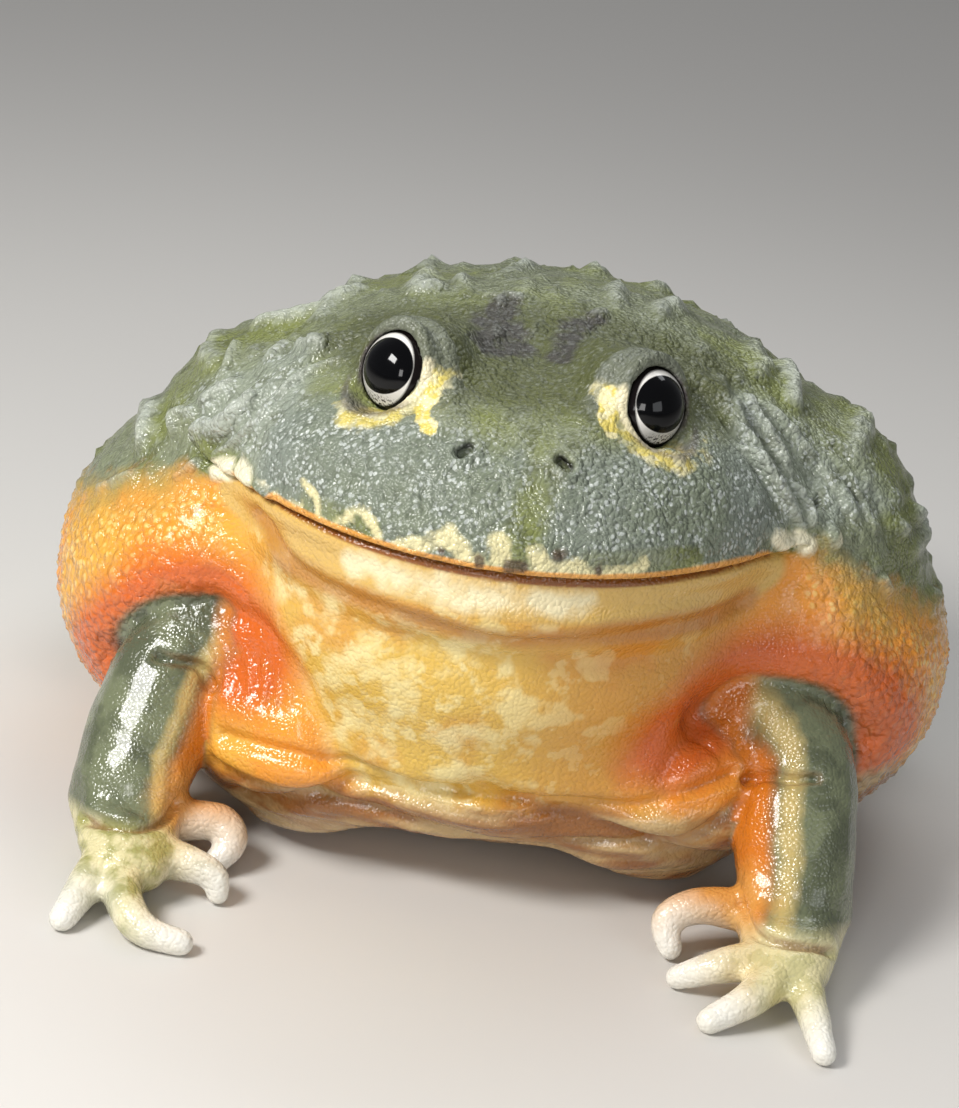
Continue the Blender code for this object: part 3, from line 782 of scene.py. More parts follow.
def roughen(whole):
    # uneven skin, more so above than below, and none round the eyes and lips
    places = readPlaces(whole)[0]
    above = ramp(places[:, 2] - boundary(places), -4, 4)
    quiet = near(places, jawPath(0, 0), 2, 7)
    for side in sides.values():
        quiet = np.maximum(quiet, aroundEye(places, side, 10, 15))
    for name, share in (("upper", above * (1 - quiet)), ("lower", (1 - above) * (1 - quiet))):
        weigh(whole, name, share, 10)
        texture = bpy.data.textures.new(name + "Lumps", "CLOUDS")
        texture.noise_scale = lumps[name]["size"]
        texture.noise_depth = lumps[name]["depth"]
        applied(whole, "DISPLACE", texture=texture, texture_coords="LOCAL", strength=lumps[name]["strength"],
                mid_level=0.5, vertex_group=name)
    whole.vertex_groups.clear()


def weigh(obj, name, weights, levels):
    # a vertex group with the weights rounded to so many levels
    group = obj.vertex_groups.new(name=name)
    steps = np.round(np.clip(weights, 0, 1) * levels).astype(int)
    for step in np.unique(steps[steps > 0]):
        group.add(np.where(steps == step)[0].tolist(), float(step / levels), "REPLACE")


# round grains: least spacing, seed of their places, half length, width and height from and to
warts = {"spacing": 7.0, "seed": 3, "half": (0, 2.0), "width": (0.9, 1.8), "height": (0.25, 1.0)}
beads = {"spacing": 2.2, "seed": 5, "half": None, "width": (0.65, 0.9), "height": (0.25, 0.5)}
grainSeed = 11


def grainSpots(places, allowed, look, rng):
    spots = []
    for index in scatter(places, allowed, look["spacing"], look["seed"]):
        half = rng.uniform(*look["half"]) if look["half"] else 0
        spots.append((places[index], (0, 1, 0), half, rng.uniform(*look["width"]), rng.uniform(*look["height"])))
    return spots


def detailSkin(whole, trees):
    roughen(whole)
    refine(whole)
    sculpt(whole, mouthStrokes() + nostrilStrokes() + lidStrokes() + wrinkles())
    places, normals = readPlaces(whole)
    x, y, z = places.T
    kd = lookup(places)
    crest = np.zeros(len(places))
    raiseSpots(places, crest, kd, ridgeSpots(trees["body"]))
    above = z - boundary(places)
    rng = np.random.default_rng(grainSeed)
    back = (above > 2) & ((y > 58) | (np.abs(x) > 42)) & (crest < 0.4) & (z > 25)
    raiseSpots(places, crest, kd, grainSpots(places, back, warts, rng))
    grain = np.zeros(len(places))
    flank = (above < 4) & (y > 44) & (np.abs(x - 2) > 52) & (z > 8)
    raiseSpots(places, grain, kd, grainSpots(places, flank, beads, rng))
    writePlaces(whole, places + normals * np.maximum(crest, grain)[:, None])
    print("ridges, warts and beads raised")
    return crest


def mouthStrokes():
    strokes = [
        stroke(jawPath(0, 0, 0.97, 33), 0.45, -1.9),       # the slit
        stroke(jawPath(0, -1.5, 0.95, 25), 1.0, 0.6),      # the rolled edge above it
        stroke(jawPath(1.0, 2.2, 0.9, 25), 1.5, 0.4),
    ]
    return strokes + [stroke(path, half * 1.3, 1.3) for path, half in marks["tubercles"]]


nostril = [(7.7, 26.2, 87.9), (8.4, 25.9, 87.5), (9.1, 25.4, 87.1)]  # the left one's slit


def nostrilStrokes():
    strokes = []
    for side in sides.values():
        slit = [mirrored(point, side) for point in nostril]
        strokes.append(stroke(slit, 0.6, -2.2))
        strokes.append(stroke(slit, 0.9, 0.6, ring=1.8))
    # the wart under the left eye
    strokes.append(stroke([(25.6, 36.6, 88.2), (27.2, 36, 87.6)], 1.8, 1.2))
    return strokes


def lidStrokes():
    strokes = []
    for side in sides.values():
        centre = mirrored(eye["centre"], side)
        gaze, up, out = eyeAxes(side)
        for radius, ahead, width, height in lids["rings"]:
            turns = [2 * math.pi * i / 24 for i in range(25)]
            ring = [centre + gaze * ahead + (out * math.cos(a) + up * math.sin(a)) * radius for a in turns]
            strokes.append(stroke(ring, width, height))
    return strokes


def wrinkles():
    strokes = []
    # between the shoulder fold and the arm, each side
    strokes += fan([(-52, 44, 44), (-48, 40, 37), (-46, 37, 30)], [(-36, 37, 42), (-33, 34, 34), (-33, 33, 29)],
                   9, 0.8, -0.9, 21)
    strokes += fan([(37, 36, 42), (40, 37, 36), (44, 36, 30)], [(52, 41, 43), (50, 39, 38), (48, 37, 33)],
                   8, 0.7, -0.6, 22)
    # streaks behind the left eye down to the corner of the mouth, and a deep crease at the lid
    strokes += fan([(28, 56, 95), (36, 50, 88), (47, 46, 77)], [(36, 62, 92), (46, 57, 84), (56, 55, 74)],
                   8, 0.8, -0.9, 23, 0.9)
    strokes += fan([(44, 62, 88), (52, 58, 80), (58, 55, 72)], [(56, 70, 84), (64, 66, 76), (68, 60, 66)],
                   8, 0.8, -0.7, 27, 1.2)
    strokes += fan([(-28, 56, 95), (-36, 51, 88), (-47, 48, 77)], [(-36, 62, 92), (-45, 58, 84), (-54, 56, 74)],
                   5, 0.9, -0.5, 24, 0.9)
    strokes.append(stroke([(29, 57, 94), (31.1, 58.3, 92.6), (34.2, 56.5, 91), (38.1, 52, 88.5),
                           (42.8, 50, 86.1)], 0.9, -1.5, 0.2))
    strokes.append(stroke([(54.2, 60.5, 80), (54.7, 55.6, 76.1)], 2.0, -0.9))
    # creases of the wrists and elbows, with the swollen forearm between them
    for name in sides:
        strokes.append(stroke(arms[name]["wrist"], 0.9, -1.5))
        above = [(x, y + 0.5, z + 4.0) for x, y, z in arms[name]["wrist"]]
        strokes.append(stroke(above, 2.6, 1.0))
        strokes.append(stroke(arms[name]["elbow"], 1.0, -2.0))
    # folds under the throat, with a roll of skin between them
    strokes.append(stroke([(-44, 34.4, 24.5), (-30, 28.4, 25.5), (-12, 27.5, 23.5), (2.3, 27.8, 23), (16, 27, 23.5),
                           (30, 28.6, 25), (46, 36, 30)], 1.3, -1.6))
    strokes.append(stroke([(-45.3, 35, 18), (-29.3, 30, 17), (-7.4, 28.9, 14.6), (17.7, 30.7, 14.3),
                           (38.6, 30, 18.1), (47.5, 33.8, 25)], 1.6, -1.5))
    strokes.append(stroke([(-44, 34, 21), (-29, 29, 21), (-9, 28, 19), (17, 28.5, 19), (38, 29, 22)], 2.4, 1.0))
    # long creases of the belly, under the throat
    strokes += fan([(-46, 38, 22), (-20, 31, 20), (8, 28, 20), (34, 31, 24), (48, 38, 26)],
                   [(-44, 48, 6), (-18, 38, 4), (8, 34, 4), (32, 38, 5), (46, 46, 7)], 9, 0.9, -0.6, 25)
    # the shoulder's fine creases
    strokes += fan([(-54, 50, 60), (-46, 45, 57), (-42, 42, 54)], [(-54, 47, 51), (-47, 44, 50), (-42, 41, 47)],
                   7, 0.6, -0.35, 26)
    return strokes


detail = {
    "lips": 2.6,
    "nostrils": 2.6,
    "lids": (5.0, 8.6),      # distance from the gaze axis, from and to
    "ahead": 1.5,
}


def detailPlaces(places, extra=0.0):
    # where the skin needs its smallest forms
    wanted = fromLine(places, laidOn(None, jawPath(0, 0), 2))[0] < detail["lips"] + extra
    low, high = detail["lids"]
    for side in sides.values():
        slit = laidOn(None, [mirrored(point, side) for point in nostril], 4)
        wanted |= fromLine(places, slit)[0] < detail["nostrils"] + extra
        ahead, across = fromEye(places, side)[:2]
        wanted |= (ahead > detail["ahead"]) & (across > low - extra) & (across < high + extra)
    return wanted


def refine(whole):
    # splits the faces at the lips, lids and nostrils, so that their edges come out sharp
    wanted = detailPlaces(readPlaces(whole)[0])
    pick(whole)
    bpy.ops.object.mode_set(mode="EDIT")
    bpy.ops.mesh.select_mode(type="VERT")
    bpy.ops.mesh.select_all(action="DESELECT")
    bpy.ops.object.mode_set(mode="OBJECT")
    whole.data.vertices.foreach_set("select", wanted)
    bpy.ops.object.mode_set(mode="EDIT")
    bpy.ops.mesh.subdivide(number_cuts=1, smoothness=0.4)
    bpy.ops.mesh.vertices_smooth(factor=0.5, repeat=1)
    bpy.ops.mesh.select_all(action="DESELECT")
    bpy.ops.object.mode_set(mode="OBJECT")
    print("split at lips, lids and nostrils:", len(whole.data.vertices), "points")


# wanted length of the edges, mm; the shortest stay as they are
edges = {"least": 0.42, "detail": 0.46, "front": 0.85, "back": 1.9, "floor": 2.6}


def thin(whole):
    places = readPlaces(whole)[0]
    y, z = places.T[1:]
    length = edges["front"] + (edges["back"] - edges["front"]) * ramp(y, 55, 120)
    length = np.maximum(length, edges["floor"] * (1 - ramp(z, 1, 8)) * ramp(y, 40, 60))
    length[detailPlaces(places, 0.8)] = edges["detail"]
    weigh(whole, "coarse", 1 - edges["least"] / length, 60)
    now = sum(len(face.vertices) - 2 for face in whole.data.polygons)
    applied(whole, "DECIMATE", ratio=skin["triangles"] / now, vertex_group="coarse")
    whole.vertex_groups.clear()
    print("skin thinned:", len(whole.data.polygons), "faces of", now)


def standOnFloor(whole):
    # nothing goes below the floor
    places = readPlaces(whole)[0]
    places[:, 2] = np.maximum(places[:, 2], 0.0)
    writePlaces(whole, places)
    return places


def near(places, path, inner, outer):
    away, share = fromLine(places, laidOn(None, path, 4))
    return 1 - ramp(away, inner, outer)


def setMask(obj, name, values):
    attribute = obj.data.attributes.new(name, "FLOAT", "POINT")
    attribute.data.foreach_set("value", np.clip(values, 0, 1).astype(np.float32))


def widen(masks, name, values):
    masks[name] = np.maximum(masks.get(name, 0.0), values)


# Colour marks that have a place of their own: path, half width
marks = {
    "lipCream": [
        ([(-34.8, 29.9, 76.2), (-33.2, 27.9, 75.4), (-32.1, 26.6, 74.6), (-31.2, 25.9, 71.8)], 0.5),
        ([(-31.2, 25.9, 71.8), (-28.6, 24.1, 71.4), (-26.7, 22.1, 73.6), (-24.7, 21.8, 75.8)], 0.6),
        ([(-24.7, 21.8, 75.8), (-22.6, 20.2, 74.9), (-21, 19.2, 73.1), (-20, 19.1, 71.5)], 0.6),
        ([(-17, 17.6, 71.7), (-13.4, 16.1, 73.2), (-11.5, 15.9, 74)], 1.1),
        ([(-9.5, 15.9, 75.8), (-6.9, 14.9, 73.7), (-3.7, 14.6, 72.2)], 1.2),
        ([(-0.5, 15.2, 76.3), (-0.2, 14.4, 73.5)], 1.2),
        ([(6, 15, 74.6), (6.4, 14.9, 73.2), (9, 15.3, 72.2)], 1.3),
        ([(9, 15.4, 72.2), (11.5, 15.8, 73), (13.8, 16.3, 72.4)], 1.2),
        ([(17.1, 17.5, 71.9), (21, 19.2, 72.4), (23.5, 20.8, 73.6)], 0.8),
        ([(32.7, 27.1, 71.6), (33.5, 28, 71.2)], 0.8),
        ([(37.3, 31.6, 71.2), (38, 32.5, 70.8)], 0.7),
        ([(-42.2, 37.5, 72), (-40.3, 35, 71.4), (-37, 31, 71.4), (-34.4, 28.8, 72.2)], 0.6),
    ],
    "lowerWhite": [
        ([(-24.5, 22.3, 66), (-21.9, 21, 66.6), (-18.9, 19.5, 65.6)], 1.6),
        ([(-17, 18.6, 66.6), (-13.2, 17.7, 66), (-9.6, 16.9, 66.9)], 2.2),
        ([(-8, 16.6, 66), (-4, 15.6, 64.8), (1, 15.4, 66)], 2.2),
        ([(7, 16.4, 66.6), (10.3, 16.7, 65.6), (14.3, 17.9, 66.6)], 1.9),
    ],
    "spots": [
        ([(-3.6, 14.5, 73.0), (-3.4, 14.4, 72.2)], 0.9),
        ([(1.6, 14.4, 72.3), (3.6, 14.5, 72.8)], 1.2),
        ([(9.3, 15.6, 75.2), (9.5, 15.6, 75.4)], 1.4),
        ([(-10, 15.6, 73.0), (-9.4, 15.6, 72.6)], 0.6),
        ([(16.2, 17.2, 73.0), (16.4, 17.4, 72.4)], 0.7),
    ],
    "yellow": [
        ([(-15.2, 38.7, 94.5), (-15.3, 36.7, 92.1), (-16.5, 33.9, 90.1), (-14.7, 30, 88.5)], 1.3),
        ([(14.6, 40.5, 95.6), (14.5, 38.9, 94.1), (14.6, 36, 92.5), (15.3, 35.1, 91.2)], 1.5),
    ],
    "tubercles": [
        ([(-51.6, 51.6, 67.9), (-49.2, 47.6, 70)], 1.5),
        ([(-46.8, 44, 71.4), (-44.9, 41.4, 71.2)], 1.6),
        ([(-42.6, 38, 71.6), (-40.8, 35.6, 71.2)], 0.9),
        ([(47.3, 45.2, 72.4), (49.6, 47, 70.8)], 1.4),
        ([(51.8, 49.2, 71.2), (53.9, 50, 69.6)], 1.3),
        ([(58.6, 51.9, 71.4), (58.8, 52, 70.6)], 1.0),
    ],
    "corner": [(-48, 46, 69.6), (-43.8, 40, 70.4), (-40.2, 35.4, 70.6), (-36, 30.2, 70.8)],
    "snout": [(-34, 34, 80), (-14, 20, 82), (0, 18, 82), (14, 20, 82), (38, 38, 80)],
    # olive patches on the snout: path, inner and outer distance
    "snoutGaps": [
        ([(6.5, 28, 89), (4, 19, 81), (2, 15, 76)], 1.5, 5.5),
        ([(-33, 28, 73.6), (-22, 20.5, 73)], 1.0, 3.5),
        ([(14, 17, 73.6), (24, 21, 74.4), (32, 27, 73.6)], 1.0, 3.0),
    ],
    "blotch": [(-5.1, 72.7, 99), (-7.8, 65.3, 97.6), (-3.7, 63.1, 97.2), (-7.9, 55.2, 96.3), (-1.8, 57.9, 95.9)],
    "smallBlotch": [(11.1, 71.8, 99.2), (7.7, 67.5, 98.4), (6.8, 62.6, 97.3), (5.6, 55.7, 96.1)],
    "rightFold": [(-70, 56, 26), (-64, 49, 36), (-57, 45, 43), (-48, 43, 44), (-42, 38, 38)],
    "leftFold": [(34, 36, 36), (42, 41, 42), (54, 43, 45), (66, 46, 43), (74, 54, 34)],
    # path of the painted shade in the groove under the lower lip
    "groove": [(-43, 45, 65.5), (-40.2, 39.4, 64.1), (-37.2, 34.5, 60.5), (-32.5, 29.9, 60.1), (-20, 19, 59.5),
               (-8, 16, 58.5), (0, 15, 57.5), (9.5, 16, 58), (18.4, 18.7, 60), (28.8, 25.5, 60.6),
               (38.1, 36.6, 60.2), (43.7, 43.4, 60.8)],
}


def blobs(places, shapes, inner=0.7, outer=1.5):
    best = np.zeros(len(places))
    for path, half in shapes:
        best = np.maximum(best, near(places, path, half * inner, half * outer))
    return best


def paintMasks(whole, trees, kd, crest):
    places = readPlaces(whole)[0]
    x, y, z = places.T
    under = boundary(places) - z
    lipFront = near(places, jawPath(0, 0), 3.0, 9.0)
    rear = ramp(y, 52, 78)
    masks = {
        "crest": crest[[kd.find(place)[1] for place in places]] / 2.9,
        "under": 0.5 + under / (14.0 - 13.0 * lipFront),
        "throat": ramp(20 + (z - 25) * 0.55 + 5 - np.abs(x - 2), -6, 5) * ramp(y, 95, 60),
        "belly": 0.4 + (21.5 + 0.08 * x - 7 * rear - z) / (5 + 13 * rear),
        "lip": blobs(places, marks["lipCream"], 0.4, 2.2),
        "lipEdge": np.maximum(near(places, marks["corner"], 0.5, 1.5), near(places, jawPath(0, -0.9, 0.98), 0.7, 1.8)),
        "lowerLip": near(places, jawPath(1.5, 3.0, 0.97), 3.0, 6.0) * (z < mouthZ(y)),
        "lipWhite": blobs(places, marks["lowerWhite"], 0.0, 2.2),
        # painted shade along the groove under the lower lip
        "groove": near(places, marks["groove"], 1.0, 4.5),
        # painted shade in the slit of the mouth
        "slit": np.maximum(near(places, jawPath(0.3, 0.0, 0.98), 0.2, 0.6),
                           near(places, jawPath(1.6, 0.0, 0.98), 0.7, 1.2)),
        "snout": near(places, marks["snout"], 6, 17) - 0.8 * sum(near(places, *gap) for gap in marks["snoutGaps"]),
        "blotch": np.maximum(near(places, marks["blotch"], 1.5, 5.0),
                             0.9 * near(places, marks["smallBlotch"], 1.0, 4.0)),
        "deep": np.maximum(near(places, marks["rightFold"], 4, 17), near(places, marks["leftFold"], 4, 18)),
        "fleck": blobs(places, marks["yellow"]),
        "spot": blobs(places, marks["spots"], 0.3, 1.7),
        "tubercle": blobs(places, marks["tubercles"], 0.7, 2.1),
        "flank": ramp(np.abs(x - 2), 48, 56) * ramp(y, 42, 50) * ramp(z, 5, 12) * ramp(under, -2, 4),
        "matte": ramp(z, 88, 94) * ramp(y, 26, 42) * (1 - 0.8 * ramp(y, 66, 80)),
        # the frog's left side: the throat is painted darker there as shade, and the hand paler
        "leftSide": ramp(x, -4, 26),
        "cheek": ramp(np.abs(x), 33, 42) * (1 - ramp(y, 60, 76)) * ramp(z, 70, 76),
    }
    for side in sides.values():
        ahead, across, high, far = fromEye(places, side)
        front = ahead > -1

        def band(middle, inner, outer):
            return (1 - ramp(np.abs(across - middle), inner, outer)) * front
        widen(masks, "lid", (1 - ramp(across, 6.2, 7.0)) * front)
        widen(masks, "lid", 0.65 * band(8.3, 0.3, 1.0) * ramp(-high, 2.5, 5.5))
        widen(masks, "lidPale", (1 - ramp(across, 10, 14)) * front * ramp(high - 0.4 * far, -1, 4))
        widen(masks, "lidYellow",
              band(9.2, 0.3, 3.0) * ramp(-high - 0.6 * far, -1, 6) * (0.5 + 0.5 * ramp(-far, -4, 2)))
        widen(masks, "lidWhite", band(7.7, 0.4, 1.0) * ramp(-far - 0.5 * np.abs(high + 2), 2.5, 5))
        # painted shade in the nostrils
        widen(masks, "nostril", near(places, [mirrored(point, side) - Vector((0, -0.6, 0.3)) for point in nostril],
                                     0.45, 1.15))
        widen(masks, "smooth", aroundEye(places, side, 10, 14))
    addArmMasks(masks, places, trees)
    for name, values in masks.items():
        setMask(whole, name, values)


def addArmMasks(masks, places, trees):
    x, y, z = places.T
    away = {name: np.array([tree.find_nearest(place)[3] for place in places]) for name, tree in trees.items()}
    for name, side in sides.items():
        plan = arms[name]
        line = laidOn(None, plan["arm"] + [plan["palm"][1]])
        best, share = fromLine(places, line)
        axis = np.interp(share * (len(line) - 1), np.arange(len(line)), line[:, 0])
        here = np.where(z > 22, 1 - ramp(best, 11.5, 14.0), ramp(away["body"] - away["arm" + name], -1, 1))
        inward = -side * (x - axis) / 10.5
        start, stop, width = plan["border"]
        orange = np.maximum(ramp(inward, stop - 0.12, stop + 0.30), ramp(51 - np.abs(x), 0, 6) * ramp(z, 25, 30))
        wrist = plan["arm"][3]
        thumb = [plan["wrist"][0 if side > 0 else 4]] + plan["fingers"][0][:3]
        widen(masks, "arm", here)
        widen(masks, "inner", here * orange)
        widen(masks, "edge", here * (1 - ramp(np.abs(inward - (start + stop) / 2), 0, width)))
        widen(masks, "hand", here * ramp(wrist[2] + 0.25 * (wrist[1] - y) - z, 1.0, 6.0) * (y < wrist[1] + 14))
        widen(masks, "thumb", here * near(places, thumb, 2, 11))
        for finger in plan["fingers"]:
            fromTip = np.linalg.norm(places - np.array(finger[-1]), axis=1)
            widen(masks, "tip", here * (1 - ramp(fromTip, 1.0, 14.0)))
        # painted shade in the pockets over the elbows
        widen(masks, "pocketShade", near(places, plan["pocketShade"], 0.3, 3.5))
        # painted shade in the creases of the wrists and elbows
        widen(masks, "creaseShade", near(places, plan["wrist"], 0.4, 1.5))
        widen(masks, "creaseShade", near(places, plan["elbow"], 0.4, 1.8))
        widen(masks, "leg", ramp(away["body"] - away["leg" + name], -1.5, 1.0))


# Materials

def addNode(tree, kind, inputs=None, **settings):
    made = tree.nodes.new("ShaderNode" + kind)
    for name, value in settings.items():
        setattr(made, name, value)
    for name, value in (inputs or {}).items():
        if isinstance(value, bpy.types.NodeSocket):
            tree.links.new(value, made.inputs[name])
        else:
            made.inputs[name].default_value = value
    return made


def mixed(tree, factor, below, above):
    made = tree.nodes.new("ShaderNodeMix")
    made.data_type = "RGBA"
    tree.links.new(factor, made.inputs[0])
    for index, value in ((6, below), (7, above)):
        if isinstance(value, bpy.types.NodeSocket):
            tree.links.new(value, made.inputs[index])
        else:
            made.inputs[index].default_value = (*value, 1)
    return made.outputs[2]


def mathNode(tree, operation, a, b=0.0, clamp=False):
    made = addNode(tree, "Math", {0: a, 1: b}, operation=operation, use_clamp=clamp)
    return made.outputs[0]



def makeGroup(name, inputs, outputs):
    group = bpy.data.node_groups.new(name, "ShaderNodeTree")
    for label, value in inputs.items():
        socket = group.interface.new_socket(label, in_out="INPUT", socket_type="NodeSocketFloat")
        socket.default_value = value
    for label in outputs:
        group.interface.new_socket(label, in_out="OUTPUT", socket_type="NodeSocketFloat")
    return group, group.nodes.new("NodeGroupInput"), group.nodes.new("NodeGroupOutput")


noiseSizes = {"Wide": 58.0, "Middle": 135.0, "Small": 250.0, "Fine": 440.0}


def noiseGroup():
    # four sizes of noise in the skin's own space, for every mask to share
    group, given, out = makeGroup("skinNoise", {"Detail": 3.0}, list(noiseSizes))
    where = addNode(group, "TexCoord").outputs["Object"]
    for label, scale in noiseSizes.items():
        noise = addNode(group, "TexNoise",
                        {"Vector": where, "Scale": scale, "Detail": given.outputs["Detail"]})
        group.links.new(noise.outputs["Fac"], out.inputs[label])
    return group


def raggedGroup():
    # breaks up the edge of a mask with noise, and leaves out what is far outside it
    group, given, out = makeGroup("raggedEdge", {"Mask": 0.0, "Noise": 0.5, "Ragged": 0.6, "Sharp": 3.0}, ["Mask"])
    shift = mathNode(group, "SUBTRACT", given.outputs["Noise"], 0.5)
    shift = mathNode(group, "MULTIPLY", shift, given.outputs["Ragged"])
    moved = mathNode(group, "SUBTRACT", mathNode(group, "ADD", given.outputs["Mask"], shift), 0.5)
    steep = mathNode(group, "MULTIPLY", moved, given.outputs["Sharp"])
    inside = mathNode(group, "MULTIPLY", given.outputs["Mask"], 6.0, True)
    edge = mathNode(group, "ADD", steep, 0.5, True)
    group.links.new(mathNode(group, "MULTIPLY", edge, inside), out.inputs["Mask"])
    return group


def pebbleGroup():
    # small rounded grains standing close together
    group, given, out = makeGroup("pebbles", {"Scale": 700.0}, ["Height"])
    where = addNode(group, "TexCoord").outputs["Object"]
    bend = addNode(group, "TexNoise", {"Vector": where, "Scale": 320.0, "Detail": 1.0}).outputs["Fac"]
    moved = addNode(group, "VectorMath", {0: where, 1: mathNode(group, "MULTIPLY", bend, 0.0012)},
                    operation="ADD")
    cells = addNode(group, "TexVoronoi", {"Vector": moved.outputs[0], "Scale": given.outputs["Scale"]},
                    feature="F1")
    steep = mathNode(group, "MULTIPLY", cells.outputs["Distance"], 1.15)
    group.links.new(mathNode(group, "SUBTRACT", 1.0, mathNode(group, "MULTIPLY", steep, steep), True),
                    out.inputs["Height"])
    return group


skinLook = {
    "olive": (0.192, 0.216, 0.072),
    "oliveDark": (0.075, 0.085, 0.035),
    "greyGreen": (0.215, 0.238, 0.148),
    "blueGrey": (0.185, 0.215, 0.182),
    "cheek": (0.300, 0.335, 0.285),
    "blotch": (0.048, 0.042, 0.042),
    "crest": (0.47, 0.50, 0.44),
    # painted highlight: small bright glints on the granules
    "paintedGlint": (0.66, 0.70, 0.67),
    "crown": (0.072, 0.080, 0.025),
    "fleckYellow": (0.74, 0.60, 0.14),
    "cream": (0.80, 0.72, 0.40),
    "brown": (0.075, 0.042, 0.022),
    "ochre": (0.46, 0.31, 0.080),
    "orange": (0.84, 0.320, 0.035),
    "bead": (0.90, 0.64, 0.20),
    "amber": (0.78, 0.39, 0.055),
    "deep": (0.62, 0.100, 0.010),
    # painted shade in the slit of the mouth
    "slit": (0.24, 0.075, 0.010),
    "lipEdge": (0.80, 0.340, 0.050),
    "throat": (0.70, 0.45, 0.080),
    "throatDark": (0.62, 0.25, 0.028),
    "throatPale": (0.90, 0.79, 0.40),
    "lowerLip": (0.66, 0.42, 0.11),
    # painted shade in the groove under the lower lip
    "groove": (0.46, 0.18, 0.030),
    "belly": (0.50, 0.34, 0.150),
    "bellyBrown": (0.30, 0.110, 0.020),
    # painted shade in the pockets over the elbows
    "pocketShade": (0.30, 0.060, 0.010),
    # painted shade in the creases of the wrists and elbows
    "creaseShade": (0.22, 0.100, 0.030),
    "armGreen": (0.165, 0.185, 0.105),
    "armDark": (0.095, 0.108, 0.062),
    "armYellow": (0.62, 0.46, 0.16),
    # the arms' inner orange, painted darker than the body's orange as shade
    "shadedArmOrange": (0.62, 0.175, 0.012),
    "hand": (0.40, 0.38, 0.13),
    "handPale": (0.78, 0.70, 0.39),
    "white": (0.84, 0.75, 0.48),
    "tipWhite": (0.86, 0.84, 0.77),
    "handOrange": (0.70, 0.34, 0.080),
    "lid": (0.085, 0.065, 0.080),
    "lidPale": (0.27, 0.29, 0.28),
    "lidWhite": (0.80, 0.72, 0.48),
    "knob": (0.88, 0.82, 0.60),
    # painted shade in the hollows between the granules
    "hollowShade": (0.040, 0.048, 0.026),
    # painted shade in the nostrils
    "nostrilShade": (0.006, 0.005, 0.005),
}

skinGloss = {
    "roughness": (0.13, 0.30),
    "film": 0.4,             # of water, below the mouth and on the arms
    "surface": {"Coat Roughness": 0.10, "Specular IOR Level": 0.6},
    "matte": 0.20,           # added on the crown, which is drier
    # how close the granules stand: the back's, the flanks' beads, the small painted highlights and the finest
    "grains": 720.0,
    "beads": 600.0,
    "paintedGlints": 1000.0,
    "finest": 1400.0,
    "streaks": 190.0,
    "bumpStrength": 0.8,
    "bump": 0.0006,
}


